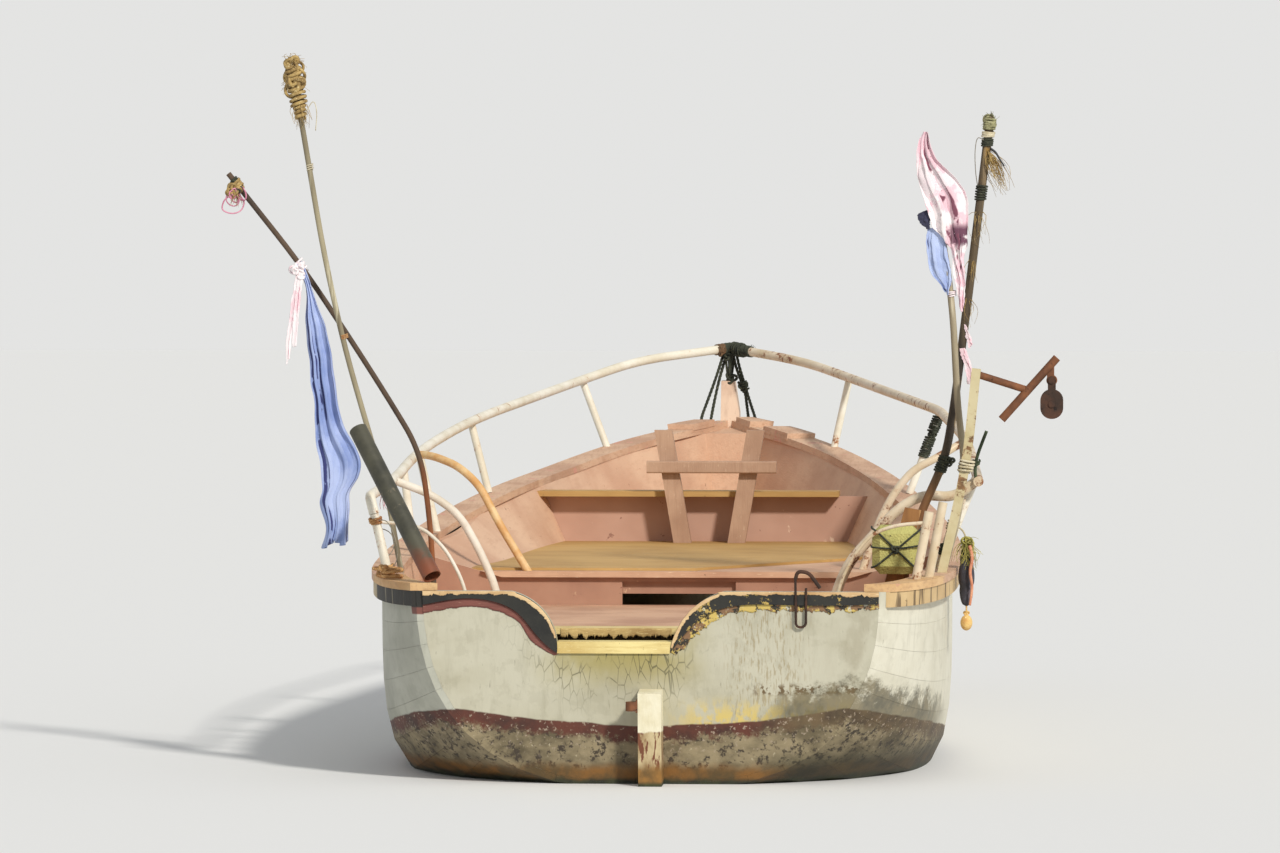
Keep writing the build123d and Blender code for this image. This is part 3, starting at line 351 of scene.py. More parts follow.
def sternpost_paint():
    """White above the bottom paint, streaked brown below and fouled at the waterline."""
    p = Paint("sternpost_paint")
    white = p.vary((238, 232, 208), (216, 206, 172), 9)
    white = p.specks(white, (128, 88, 62), 30, 0.68, 0.71, (3, 3, 1))
    pale = p.vary((196, 178, 138), (150, 122, 84), 12, (2, 2, 1))
    streak = p.step(p.noise(26, (3, 3, 0.5), (1, 4, 2), 5.0), 0.50, 0.56)
    brown = p.mix(streak, pale, (112, 64, 40))
    edge = p.scaled(p.noise(20), 0.02, 0.167)
    tone = p.mix(p.step(p.math("SUBTRACT", edge, p.z), -0.003, 0.004), white, brown)
    tone = p.mix(p.step(p.z, 0.085, 0.045), tone, p.vary((146, 104, 46), (104, 78, 38), 20))
    tone = p.mix(p.step(p.z, 0.020, 0.004), tone, p.vary((56, 60, 28), (30, 33, 17), 16))
    return p.finish(tone, 0.65, p.noise(30, (2, 2, 0.6), detail=6.0), 0.6, 0.004)


def pipe_paint():
    """A dark pipe, rusty towards its foot."""
    p = Paint("pipe_dark")
    lower = p.step(p.z, 0.80, 0.68)
    tone = p.vary((78, 76, 62), (50, 50, 42), 8)
    tone = p.specks(tone, (108, 100, 82), 26, 0.62, 0.68)
    tone = p.mix(p.times(lower, p.step(p.noise(16), 0.35, 0.55)), tone, (130, 72, 46))
    return p.finish(tone, 0.55, p.noise(70), 0.4, 0.002, 0.2)


def hoop_paint():
    """White hoops; the forward one has gone to orange rust."""
    p = Paint("hoop_rust")
    white = p.vary((232, 224, 210), (204, 192, 172), 7)
    orange = p.vary((206, 154, 92), (226, 196, 146), 13)
    forward = p.step(p.y, -1.30, -1.16)
    amount = p.scaled(forward, 0.36, p.noise(14, detail=6.0, rough=0.7))
    tone = p.mix(p.step(amount, 0.64, 0.72), white, orange)
    return p.finish(tone, 0.6, p.noise(60), 0.4, 0.0015)


def foam_paint():
    """Old green foam with open cells."""
    p = Paint("foam_green")
    tone = p.vary((190, 184, 112), (154, 150, 86), 12)
    tone = p.specks(tone, (96, 92, 54), 60, 0.62, 0.66)
    return p.finish(tone, 0.9, p.cells(160), 0.8, 0.003)


def port_rub_paint():
    """Salmon along the side, and the band's black round the port quarter."""
    p = Paint("rub_port")
    aft_part = p.step(p.y, -2.30, -2.36)
    tone = p.vary((196, 180, 146), (160, 142, 108), 5)
    bare = p.step(p.noise(30, (1, 1, 0.1), detail=3.0), 0.60, 0.66)
    black = p.mix(bare, (36, 34, 30), (120, 112, 92))
    return p.finish(p.mix(aft_part, tone, black), 0.65, p.noise(30, (1, 1, 0.3)), 0.5, 0.004)


def paint_nodes():
    """Gives every CAD node its material."""
    inside = wood_paint("inside_salmon", (218, 182, 152), (196, 154, 126), (230, 204, 178), GRAIN_ALONG, 4,
                        0.66, stain=(150, 108, 88))
    boards = wood_paint("inside_boards", (212, 172, 140), (182, 138, 110), (228, 204, 168), GRAIN_ACROSS, 5,
                        0.62, stain=(104, 74, 56))
    bulkhead = wood_paint("bulkhead_pink", (200, 162, 142), (176, 136, 116), (214, 186, 162), (1, 1, 0.5), 3,
                          0.68, stain=(140, 100, 84))
    step = wood_paint("step_pink", (176, 134, 110), (150, 108, 88), (202, 168, 136), (1, 1, 0.5), 5, 0.66,
                      stain=(116, 74, 62))
    ochre = wood_paint("plywood_ochre", (198, 160, 98), (168, 130, 74), (214, 186, 128), GRAIN_ACROSS, 3,
                       0.66, stain=(134, 104, 64))
    sill = wood_paint("sill_cream", (232, 214, 148), (196, 168, 100), (240, 230, 182), (1, 14, 14), 9, 0.62,
                      stain=(86, 76, 46))
    bitt = wood_paint("bitt_wood", (188, 154, 128), (158, 122, 98), (210, 182, 154), (12, 12, 1), 6, 0.62)
    bare = wood_paint("bare_timber", (138, 112, 84), (100, 80, 60), (164, 140, 110), GRAIN_ALONG, 5, 0.62)
    rails = tube_paint("rail_white", (234, 228, 212), (164, 108, 66), 0.70)
    rails_worn = tube_paint("rail_worn", (222, 206, 180), (150, 100, 66), 0.63)
    looks = {
        hull_paint("topsides_starboard", (222, 218, 200), (204, 199, 178),
                   drip=0.45): ["topside_planks_starboard"],
        # Painted shade: the port topsides share the starboard white paint but are drawn darker, because that
        # side lies in shade
        hull_paint("topsides_port_painted_shade", (186, 186, 172), (164, 164, 150), drip=0.3,
                   corner="port"): ["topside_planks_port"],
        hull_paint("bottom_starboard"): ["bottom_planks_starboard", "bottom_planks_port", "keel"],
        hull_paint("stem_paint", (224, 196, 170), (204, 170, 146)): ["stem"],
        hull_paint("transom_paint", (192, 188, 168), (176, 171, 148), True, 0.4): ["transom"],
        sternpost_paint(): ["sternpost"],
        cap_paint(): ["cap_rail_port", "cap_rail_starboard", "bow_blocks"],
        nailed_paint("rub_cream", (214, 186, 138), (190, 158, 110), (92, 72, 48)): ["rub_rail_starboard"],
        port_rub_paint(): ["rub_rail_port"],
        band_paint("band_black", (120, 96, 70), 0.70): ["transom_band_port"],
        band_paint("band_flaked", (186, 158, 84), 0.60): ["transom_band_starboard"],
        sill: ["notch_sill"],
        inside: ["stern_lining_port", "stern_lining_starboard", "lining_port", "lining_starboard", "apron"],
        boards: ["middle_deck"],
        stern_deck_paint(): ["stern_deck"],
        bulkhead: ["forward_bulkhead"],
        step: ["locker_bulkhead", "sliding_board"],
        ochre: ["plywood_sheet", "shelf"],
        bitt: ["bitt_posts", "bitt_bar"],
        bare: ["keelson", "stern_deck_beams", "middle_deck_beams"],
        rails: ["rail_port", "stanchions_port", "stanchions_starboard"],
        rails_worn: ["rail_starboard", "quarter_posts_starboard", "hoops_starboard"],
        tube_paint("davit_cream", (202, 190, 152), (140, 104, 66), 0.62): ["davit_post"],
        hoop_paint(): ["hoops_port"],
        iron("rusty_iron", (104, 68, 48), (146, 94, 60)): ["davit_bar", "gudgeon"],
        iron("dark_iron", (58, 44, 36), (92, 60, 44)): ["transom_hook", "block_shell", "block_pins",
                                                        "sheave"],
        bark("pole_grey", (160, 150, 122), (108, 98, 78), (200, 192, 164)): ["pole_port_tall"],
        bark("pole_pale", (176, 164, 138), (122, 108, 84), (206, 196, 170)): ["pole_starboard_flag"],
        raking_paint(): ["pole_port_raking"],
        pole_paint(): ["pole_starboard_main"],
        bark("board_ochre", (160, 112, 64), (120, 78, 44), (186, 142, 92)): ["pole_board"],
        pipe_paint(): ["pipe"],
        foam_paint(): ["foam_float"],
    }
    for material, names in looks.items():
        for name in names:
            for slot in nodes[name].material_slots:
                slot.material = material


# Geometry helpers

def mesh_object(name, vertices, faces, material, body=HULL):
    """A new piece from points in the boat's own frame."""
    mesh = bpy.data.meshes.new(name)
    mesh.from_pydata([tuple(v) for v in vertices], [], faces)
    mesh.validate()
    mesh.update()
    piece = bpy.data.objects.new(name, mesh)
    bpy.context.scene.collection.objects.link(piece)
    mesh.materials.append(material)
    for polygon in mesh.polygons:
        polygon.use_smooth = True
    if body:
        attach(piece, body)
    return piece


def smooth_path(points, count):
    """Evenly spaced points on a smooth curve through the given ones."""
    points = [Vector(p) for p in points]
    ends = [2 * points[0] - points[1]] + points + [2 * points[-1] - points[-2]]
    dense = []
    for a, b, c, d in zip(ends, ends[1:], ends[2:], ends[3:]):
        for step in range(16):
            t = step / 16
            dense.append(0.5 * (2 * b + (c - a) * t + (2 * a - 5 * b + 4 * c - d) * t * t
                                + (3 * b - a - 3 * c + d) * t * t * t))
    dense.append(points[-1])
    runs = [0.0]
    for a, b in zip(dense, dense[1:]):
        runs.append(runs[-1] + (b - a).length)
    out = []
    index = 0
    for step in range(count):
        goal = runs[-1] * step / (count - 1)
        while index < len(runs) - 2 and runs[index + 1] < goal:
            index += 1
        span = runs[index + 1] - runs[index]
        part = 0 if span < 1e-9 else (goal - runs[index]) / span
        out.append(dense[index].lerp(dense[index + 1], min(1, max(0, part))))
    return out


def frames_along(path):
    """A pair of directions across the path at each point, that turn as little as possible."""
    tangents = []
    for i in range(len(path)):
        tangents.append((path[min(i + 1, len(path) - 1)] - path[max(i - 1, 0)]).normalized())
    side = tangents[0].orthogonal().normalized()
    pairs = []
    for tangent in tangents:
        side = (side - tangent * side.dot(tangent)).normalized()
        pairs.append((side, tangent.cross(side)))
    return pairs


def tube_data(path, radius, sides=8, offset=0):
    """Vertices and faces of a tube; radius is a number or a function of the share of length."""
    vertices, faces = [], []
    pairs = frames_along(path)
    last = len(path) - 1
    for i, (point, (u, v)) in enumerate(zip(path, pairs)):
        r = radius(i / last) if callable(radius) else radius
        for k in range(sides):
            turn = 2 * math.pi * k / sides
            vertices.append(point + u * (r * math.cos(turn)) + v * (r * math.sin(turn)))
    for i in range(last):
        for k in range(sides):
            a, b = i * sides + k, i * sides + (k + 1) % sides
            faces.append((offset + a, offset + b, offset + b + sides, offset + a + sides))
    faces.append(tuple(offset + k for k in reversed(range(sides))))
    faces.append(tuple(offset + last * sides + k for k in range(sides)))
    return vertices, faces


def tubes_data(lines, radius, sides, offset=0):
    """Vertices and faces of several tubes of one thickness."""
    vertices, faces = [], []
    for line in lines:
        more, quads = tube_data(line, radius, sides, offset + len(vertices))
        vertices += more
        faces += quads
    return vertices, faces


def rope_data(path, radius, pitch, strands=3, sides=6):
    """Twisted strands along a path."""
    pairs = frames_along(path)
    length = sum((b - a).length for a, b in zip(path, path[1:]))
    lines = []
    for strand in range(strands):
        line = []
        for i, (point, (u, v)) in enumerate(zip(path, pairs)):
            run = length * i / (len(path) - 1)
            turn = 2 * math.pi * (run / pitch + strand / strands)
            line.append(point + (u * math.cos(turn) + v * math.sin(turn)) * radius * 0.52)
        lines.append(line)
    return tubes_data(lines, radius * 0.56, sides)


def bundle(name, parts, material):
    """One piece from several vertex and face lists, each made by a function of its offset."""
    vertices, faces = [], []
    for make in parts:
        more, quads = make(len(vertices))
        vertices += more
        faces += quads
    return mesh_object(name, vertices, faces, material)


def tube(path, radius, count=24, sides=8):
    """A maker of a plain cord or stick for bundle."""
    line = smooth_path(path, count)
    return lambda offset: tube_data(line, radius, sides, offset)


def winding(start, end, radius, turns, cord_radius, seed=0.0):
    """A maker of turns of cord round a straight bar, a little loose and uneven."""
    start, end = Vector(start), Vector(end)
    axis = (end - start).normalized()
    u = axis.orthogonal().normalized()
    v = axis.cross(u)
    steps = int(turns * 14)
    line = []
    for i in range(steps + 1):
        turn = 2 * math.pi * turns * i / steps
        swell = radius + cord_radius * (1 + 0.6 * noise.noise(Vector((turn * 0.7, seed, 0))))
        slip = axis * (cord_radius * 0.8 * noise.noise(Vector((turn * 0.5, seed, 5))))
        line.append(start.lerp(end, i / steps) + slip + (u * math.cos(turn) + v * math.sin(turn)) * swell)
    return lambda offset: tube_data(line, cord_radius, 6, offset)


def knot(centre, size, cord_radius, lean=0.0):
    """A maker of a pulled-tight overhand knot."""
    line = []
    for i in range(73):
        t = 2 * math.pi * i / 72
        x, y = math.sin(t) + 2 * math.sin(2 * t), math.cos(t) - 2 * math.cos(2 * t)
        flat = Vector((x, math.sin(3 * t) * 1.1, y)) * (size / 6)
        line.append(Vector(centre) + Vector((flat.x + lean * flat.z, flat.y, flat.z - lean * flat.x)))
    return lambda offset: tube_data(line, cord_radius, 6, offset)


def fibres(root, aim, count, length, spread, droop, radius, seed):
    """A maker of a tuft of thin bent fibres that leave a root."""
    chance = random.Random(seed)
    root, aim = Vector(root), Vector(aim).normalized()
    lines = []
    for _ in range(count):
        off = Vector([chance.gauss(0, 1) for _ in range(3)])
        way = (aim + off * spread).normalized()
        long = length * chance.uniform(0.45, 1.0)
        curl = Vector([chance.gauss(0, 1) for _ in range(3)]) * long * 0.16
        at = root + off * radius * 2.5
        lines.append([at + way * long * t + curl * math.sin(3.1 * t) + Vector((0, 0, -droop * long * t * t))
                      for t in (0, 0.2, 0.4, 0.6, 0.8, 1.0)])
    return lambda offset: tubes_data(lines, lambda t: radius * (1 - 0.6 * t), 4, offset)


def loops(centre, size, count, cord_radius, seed, flat=0.5):
    """A maker of loose loops of cord that all pass near one point."""
    chance = random.Random(seed)
    centre = Vector(centre)
    lines = []
    for _ in range(count):
        lean = chance.uniform(0, 2 * math.pi)
        wide = size * chance.uniform(0.5, 1.0)
        tall = size * chance.uniform(0.5, 1.0)
        turn_y = chance.uniform(-flat, flat)
        line = []
        for i in range(25):
            t = 2 * math.pi * i / 24
            x, z = wide * math.sin(t), tall * (1 - math.cos(t)) * 0.9
            x, z = x * math.cos(lean) - z * math.sin(lean), x * math.sin(lean) + z * math.cos(lean)
            line.append(centre + Vector((x, turn_y * x + flat * size * 0.5 * math.sin(2 * t), z)))
        lines.append(line)
    return lambda offset: tubes_data(lines, cord_radius, 6, offset)


def rope_paint(name, colour, dark, speck, rough=0.9):
    """Fibre rope: soft patches, fine hairs and some pale or dark specks."""
    p = Paint(name)
    tone = p.vary(colour, dark, 30)
    tone = p.specks(tone, speck, 160, 0.58, 0.64)
    return p.finish(tone, rough, p.noise(500, detail=4.0), 0.6, 0.0015)


# A rope's strand circle as a share of its diameter, and the length of one full twist in diameters
STRAND_SHARE = 1 / 1.9
TWIST = 3.2


def spline_points(name, points, fine=24):
    """The route of a cord: a smooth curve whose control points are the given ones."""
    curve = bpy.data.curves.new(name + "_route", "CURVE")
    curve.dimensions = "3D"
    curve.resolution_u = fine
    spline = curve.splines.new("NURBS")
    spline.points.add(len(points) - 1)
    for place, point in zip(spline.points, points):
        place.co = (*point, 1)
    spline.order_u = 3
    spline.use_endpoint_u = True
    route = bpy.data.objects.new(name + "_route", curve)
    mesh = bpy.data.meshes.new_from_object(route)
    line = [vertex.co.copy() for vertex in mesh.vertices]
    bpy.data.objects.remove(route)
    bpy.data.meshes.remove(mesh)
    return line


def cord(name, points, diameter, material, twisted=True,
         fine=24):
    """A free rope or wire on one smooth route, laid up of three strands if it is a rope."""
    line = spline_points(name, points, fine)
    if twisted:
        vertices, faces = rope_data(line, diameter * STRAND_SHARE, diameter * TWIST)
    else:
        vertices, faces = tube_data(line, diameter / 2, 8)
    piece = mesh_object(name, vertices, faces, material)
    return piece


def cloth_material(name, colour, fold, seams=(), seam=(52, 58, 112), patch=None, low=None):
    """Thin faded cloth with a fine weave; seams run down it at shares of its width."""
    p = Paint(name)
    tone = p.vary(colour, fold, 9, (1, 1, 0.6))
    if patch is not None:
        blotch = p.noise(17, (1, 1, 0.8), (0, 0, 3), 5.0)
        tone = p.mix(p.step(blotch, 0.50, 0.57), tone, patch)
    if low is not None:
        shade, bottom, top = low
        band = p.times(p.step(p.z, bottom, bottom + 0.03), p.step(p.z, top, top - 0.03),
                       p.step(p.x, 0.925, 0.965))
        blots = p.step(p.noise(24, (1, 1, 0.7), (5, 0, 1)), 0.46, 0.54)
        tone = p.mix(p.times(band, blots), tone, shade)
    sheet = p.add("ShaderNodeUVMap")
    share = p.add("ShaderNodeSeparateXYZ", Vector=sheet.outputs["UV"]).outputs[0]
    waver = p.scaled(p.noise(9, shift=(0, 4, 0)), 0.06, -0.03)
    for place in seams:
        off = p.math("ABSOLUTE", p.math("SUBTRACT", p.plus(share, waver), place))
        broken = p.step(p.noise(18, (1, 1, 0.8), (place * 9, 0, 0)), 0.40, 0.46)
        tone = p.mix(p.times(p.step(off, 0.026, 0.014), broken), tone, seam)
    weave = p.plus(p.noise(900, (1, 1, 0.1), detail=1.0), p.noise(900, (0.1, 0.1, 1), detail=1.0))
    wrinkle = p.scaled(p.noise(34, (1, 1, 0.5), detail=3.0), 3.0, weave)
    p.shader.inputs["Sheen Weight"].default_value = 0.25
    return p.finish(tone, 0.85, wrinkle, 0.35, 0.0012)


def edge_cloth(name, left, right, y, folds, depth, material, seed, loose=0.004):
    """A sheet that hangs between two edges, given by x and z, with folds that run down it and wander."""
    rows, columns = 110, 72
    edges = [smooth_path([(x, y, z) for x, z in edge], rows) for edge in (left, right)]
    vertices, faces = [], []
    for i in range(rows):
        t = i / (rows - 1)
        one, two = edges[0][i].copy(), edges[1][i].copy()
        one.x += loose * noise.noise(Vector((seed, t * 13, 1)))
        two.x += loose * noise.noise(Vector((seed, t * 13, 8)))
        for j in range(columns):
            s = j / (columns - 1)
            wander = noise.noise(Vector((seed, s * 2.2, t * 2.6)))
            drift = noise.noise(Vector((seed + 4, t * 2.2, 0)))
            phase = 2 * math.pi * folds * (s + 0.12 * wander) + 1.4 * drift
            deep = depth * min(1, 0.35 + 3 * t) * (0.7 + 0.7 * noise.noise(Vector((seed + 9, s * 3, t * 3))))
            tuck = 0.30 / folds * math.sin(2 * phase) * min(1, 6 * s * (1 - s))
            point = one.lerp(two, s + tuck)
            swing = deep * math.sin(phase) + 0.35 * deep * noise.noise(Vector((seed + 2, s * 7, t * 8)))
            hem = 0.010 * math.sin(phase * 0.5 + seed) * max(0, t - 0.9) * 10
            vertices.append(point + Vector((0, swing, hem)))
    for i in range(rows - 1):
        for j in range(columns - 1):
            a = i * columns + j
            faces.append((a, a + 1, a + columns + 1, a + columns))
    piece = mesh_object(name, vertices, faces, material)
    shares = piece.data.uv_layers.new(name="sheet")
    for loop in piece.data.loops:
        row, column = divmod(loop.vertex_index, columns)
        shares.data[loop.index].uv = (column / (columns - 1), row / (rows - 1))
    solid = piece.modifiers.new("thick", "SOLIDIFY")
    solid.thickness = 0.0010
    return piece


# Painted stripes under the transom's bands, and the bare edge above them

TRANSOM_Y, TRANSOM_RAKE = -2.659, -0.1405
BAND_FACE = 0.0096
PORT_BAND_EDGE = [(-0.735, 0.583), (-0.600, 0.604), (-0.509, 0.595), (-0.432, 0.560), (-0.380, 0.500),
                  (-0.336, 0.452), (-0.297, 0.424)]
PORT_STRIPE_EDGE = [(-0.735, 0.554), (-0.598, 0.575), (-0.509, 0.5655), (-0.431, 0.530), (-0.387, 0.466),
                    (-0.342, 0.434), (-0.312, 0.418)]
STARBOARD_BAND_EDGE = [(0.735, 0.590), (0.660, 0.586), (0.520, 0.584), (0.380, 0.587), (0.270, 0.582),
                       (0.195, 0.560), (0.140, 0.522), (0.100, 0.478), (0.062, 0.430)]
STARBOARD_STRIPE_EDGE = [(0.735, 0.572), (0.660, 0.566), (0.520, 0.562), (0.380, 0.566), (0.280, 0.560),
                         (0.214, 0.538), (0.164, 0.500), (0.122, 0.462), (0.080, 0.420)]


def stripe(name, upper, lower, ragged, material, proud=0.0012, plane=(TRANSOM_Y, TRANSOM_RAKE)):
    """A thin coat of paint on a leaning plane between two curves, with a ragged lower edge."""
    count, across = 180, 4
    top = smooth_path([(x, 0, z) for x, z in upper], count)
    foot = smooth_path([(x, 0, z) for x, z in lower], count)
    vertices, faces = [], []
    for i, (a, b) in enumerate(zip(top, foot)):
        coarse, fine = noise.noise(Vector((i * 0.11, 2.0, 5.0))), noise.noise(Vector((i * 0.5, 8.0, 1.0)))
        reach = max(0.15, 1 + ragged * (coarse + 0.7 * fine))
        for k in range(across + 1):
            point = a.lerp(b, reach * k / across)
            vertices.append((point.x, plane[0] + plane[1] * point.z - proud, point.z))
    for i in range(count - 1):
        for k in range(across):
            j = i * (across + 1) + k
            faces.append((j, j + 1, j + across + 2, j + across + 1))
    piece = mesh_object(name, vertices, faces, material)
    thick = piece.modifiers.new("thick", "SOLIDIFY")
    thick.thickness = 0.001
    thick.offset = 0
    return piece


PORT_RIM = [(-0.735, 0.6265), (-0.600, 0.6265), (-0.455, 0.6265), (-0.430, 0.619), (-0.400, 0.606),
            (-0.370, 0.586), (-0.350, 0.568), (-0.330, 0.542), (-0.320, 0.522), (-0.310, 0.498),
            (-0.305, 0.476)]
PORT_RIM_FOOT = [(-0.735, 0.612), (-0.600, 0.617), (-0.458, 0.615), (-0.435, 0.608), (-0.407, 0.595),
                 (-0.378, 0.576), (-0.358, 0.558), (-0.338, 0.535), (-0.328, 0.517), (-0.317, 0.494),
                 (-0.310, 0.474)]
STARBOARD_RIM = [(0.735, 0.6265), (0.500, 0.6265), (0.240, 0.6265), (0.220, 0.620), (0.180, 0.604),
                 (0.140, 0.576), (0.120, 0.556), (0.100, 0.530), (0.080, 0.494), (0.070, 0.468),
                 (0.064, 0.445)]
STARBOARD_RIM_FOOT = [(0.735, 0.611), (0.500, 0.617), (0.243, 0.616), (0.224, 0.611), (0.186, 0.595),
                      (0.147, 0.567), (0.128, 0.548), (0.108, 0.522), (0.088, 0.488), (0.078, 0.462),
                      (0.069, 0.442)]
DECK_END = (-2.5895, 0.0)


def stripes():
    """The stripes, the bare edges and the stern deck's splintered end."""
    maroon = wood_paint("stripe_maroon", (128, 76, 66), (104, 58, 50), (158, 120, 100), GRAIN_ACROSS, 8, 0.62)
    flaked = Paint("stripe_flaked")
    tone = flaked.specks((132, 100, 70), (204, 178, 98), 26, 0.48, 0.52)
    tone = flaked.specks(tone, (48, 43, 34), 34, 0.53, 0.57, shift=(2, 0, 1))
    tone = flaked.specks(tone, (198, 194, 172), 40, 0.60, 0.63, shift=(6, 0, 1))
    flaked.finish(tone, 0.7, flaked.noise(40), 0.5, 0.003)
    stripe("stripe_port", PORT_BAND_EDGE, PORT_STRIPE_EDGE, 0.10, maroon)
    stripe("stripe_starboard", STARBOARD_BAND_EDGE, STARBOARD_STRIPE_EDGE, 0.55, flaked.material)
    worn = wood_paint("edge_tan", (224, 194, 148), (190, 150, 100), (238, 218, 176), GRAIN_ACROSS, 9, 0.60,
                      stain=(90, 72, 46))
    stripe("edge_port", PORT_RIM, PORT_RIM_FOOT, 0.5, worn, BAND_FACE + 0.0008)
    stripe("edge_starboard", STARBOARD_RIM, STARBOARD_RIM_FOOT, 0.6, worn, BAND_FACE + 0.0008)
    rotten = wood_paint("deck_end", (206, 178, 116), (150, 118, 70), (228, 208, 150), (1, 14, 14), 12, 0.58,
                        stain=(58, 46, 30))
    stripe("deck_end_splinters", [(-0.300, 0.4995), (0.060, 0.4995)], [(-0.300, 0.472), (0.060, 0.474)],
           0.55, rotten, 0.0012, DECK_END)


# Cloths

BLUE_LEFT = [(-1.208, 1.668), (-1.180, 1.620), (-1.171, 1.569), (-1.171, 1.450), (-1.156, 1.300),
             (-1.145, 1.222), (-1.141, 1.109), (-1.126, 1.025), (-1.118, 0.935), (-1.126, 0.881),
             (-1.106, 0.806), (-1.122, 0.742)]
BLUE_RIGHT = [(-1.186, 1.680), (-1.160, 1.620), (-1.146, 1.569), (-1.102, 1.450), (-1.076, 1.299),
              (-1.054, 1.162), (-1.012, 1.075), (-0.989, 1.019), (-0.996, 0.975), (-1.027, 0.919),
              (-1.030, 0.859), (-1.033, 0.756)]
PINK_LEFT = [(0.859, 2.107), (0.840, 2.058), (0.838, 1.971), (0.850, 1.922), (0.872, 1.854), (0.882, 1.817),
             (0.899, 1.781), (0.918, 1.760)]
PINK_RIGHT = [(0.872, 2.106), (0.897, 2.027), (0.924, 1.996), (0.977, 1.941), (1.005, 1.885), (1.006, 1.813),
              (1.005, 1.744), (0.996, 1.700)]
TAIL_LEFT = [(0.933, 1.790), (0.940, 1.763), (0.952, 1.707), (0.958, 1.645), (0.971, 1.583), (0.980, 1.525)]
TAIL_RIGHT = [(0.993, 1.770), (0.998, 1.738), (0.992, 1.688), (0.998, 1.607), (0.995, 1.563), (0.993, 1.525)]
STRIP_LEFT = [(0.978, 1.392), (0.984, 1.370), (0.992, 1.345), (0.998, 1.315), (1.004, 1.280)]
STRIP_RIGHT = [(0.994, 1.394), (1.004, 1.372), (1.014, 1.345), (1.022, 1.312), (1.026, 1.284)]
SCRAP_LEFT = [(0.992, 1.472), (0.996, 1.450), (1.000, 1.428), (1.006, 1.404)]
SCRAP_RIGHT = [(0.998, 1.470), (1.006, 1.446), (1.016, 1.425), (1.020, 1.402)]
PATCH_LEFT = [(0.874, 1.790), (0.869, 1.750), (0.872, 1.706), (0.884, 1.644), (0.911, 1.610), (0.933, 1.581)]
PATCH_RIGHT = [(0.930, 1.790), (0.932, 1.750), (0.943, 1.688), (0.949, 1.650), (0.952, 1.613), (0.943, 1.578)]
NAVY_LEFT = [(0.872, 1.850), (0.846, 1.838), (0.842, 1.820), (0.858, 1.800)]
NAVY_RIGHT = [(0.884, 1.846), (0.886, 1.830), (0.882, 1.812), (0.880, 1.794)]
RIBBON_LONG_LEFT = [(-1.200, 1.662), (-1.209, 1.606), (-1.217, 1.560), (-1.225, 1.500), (-1.236, 1.419),
                    (-1.238, 1.347)]
RIBBON_LONG_RIGHT = [(-1.186, 1.662), (-1.196, 1.606), (-1.202, 1.560), (-1.211, 1.500), (-1.220, 1.419),
                     (-1.225, 1.350)]
RIBBON_SHORT_LEFT = [(-1.190, 1.662), (-1.198, 1.612), (-1.206, 1.560), (-1.211, 1.500), (-1.216, 1.406)]
RIBBON_SHORT_RIGHT = [(-1.176, 1.662), (-1.182, 1.612), (-1.188, 1.560), (-1.194, 1.500), (-1.200, 1.410)]


def cloths():
    """The two hung cloths, their scraps and ribbons, and what ties them."""
    blue = cloth_material("cloth_blue", (176, 190, 228), (126, 146, 198), (0.14, 0.30, 0.46, 0.93))
    pink = cloth_material("cloth_pink", (244, 236, 236), (236, 214, 220), (0.42, 0.70), (120, 66, 84),
                          (234, 198, 207), ((104, 62, 82), 1.715, 1.815))
    sky = cloth_material("cloth_sky", (182, 196, 230), (134, 152, 200), (0.08, 0.92), (40, 44, 92))
    navy = cloth_material("cloth_navy", (52, 52, 78), (32, 33, 50))
    bright = cloth_material("ribbon_pink", (244, 235, 236), (236, 214, 219), (0.85,), (196, 110, 132),
                            (238, 206, 213))
    raking, flag, main = ["pole_port_raking"], ["pole_starboard_flag"], ["pole_starboard_main"]
    piece = edge_cloth("blue_cloth_hung", BLUE_LEFT, BLUE_RIGHT, -2.131, 3.0, 0.016, blue,
                       3.1)
    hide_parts("blue_cloth")
    piece = edge_cloth("pink_cloth_hung", PINK_LEFT, PINK_RIGHT, -2.068, 2.6, 0.018, pink,
                       7.7)
    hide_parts("pink_cloth")
    small = [
        ("pink_tail_hung", TAIL_LEFT, TAIL_RIGHT, -2.066, 2.0, 0.010, pink, flag, 1.7, "pink_fabric"),
        ("pink_strip_hung", STRIP_LEFT, STRIP_RIGHT, -1.968, 1.0, 0.005, bright, main, 2.4, "pink_fabric"),
        ("pale_scrap_hung", SCRAP_LEFT, SCRAP_RIGHT, -1.966, 1.0, 0.004, bright, main, 4.4, "pink_fabric"),
        ("sky_patch_hung", PATCH_LEFT, PATCH_RIGHT, -2.060, 2.0, 0.010, sky, flag, 6.1, "blue_fabric"),
        ("navy_patch_hung", NAVY_LEFT, NAVY_RIGHT, -2.066, 1.0, 0.006, navy, flag, 8.3, "blue_fabric"),
        ("ribbon_long", RIBBON_LONG_LEFT, RIBBON_LONG_RIGHT, -2.134, 1.0, 0.004, bright, raking, 5.2,
         "pink_fabric"),
        ("ribbon_short", RIBBON_SHORT_LEFT, RIBBON_SHORT_RIGHT, -2.138, 1.0, 0.004, bright, raking, 9.2,
         "pink_fabric"),
    ]
    for name, left, right, y, folds, depth, material, held, seed, slot in small:
        piece = edge_cloth(name, left, right, y, folds, depth, material, seed, 0.003)
    ties = [winding((-1.176, -2.11, 1.646), (-1.199, -2.11, 1.684), 0.009, 3, 0.004, 1.0),
            knot((-1.192, -2.130, 1.664), 0.028, 0.0050),
            loops((-1.196, -2.134, 1.650), 0.017, 5, 0.0040, 51, 0.6)]
    bundle("ribbon_knot", ties, bright)
    ties = [winding((0.862, -2.05, 2.086), (0.866, -2.05, 2.064), 0.011, 3, 0.0025, 2.0),
            winding((0.953, -2.05, 1.586), (0.954, -2.05, 1.566), 0.011, 3, 0.0025, 7.0)]
    bundle("cloth_ties", ties, bright)


# Ropes, lashings and tufts

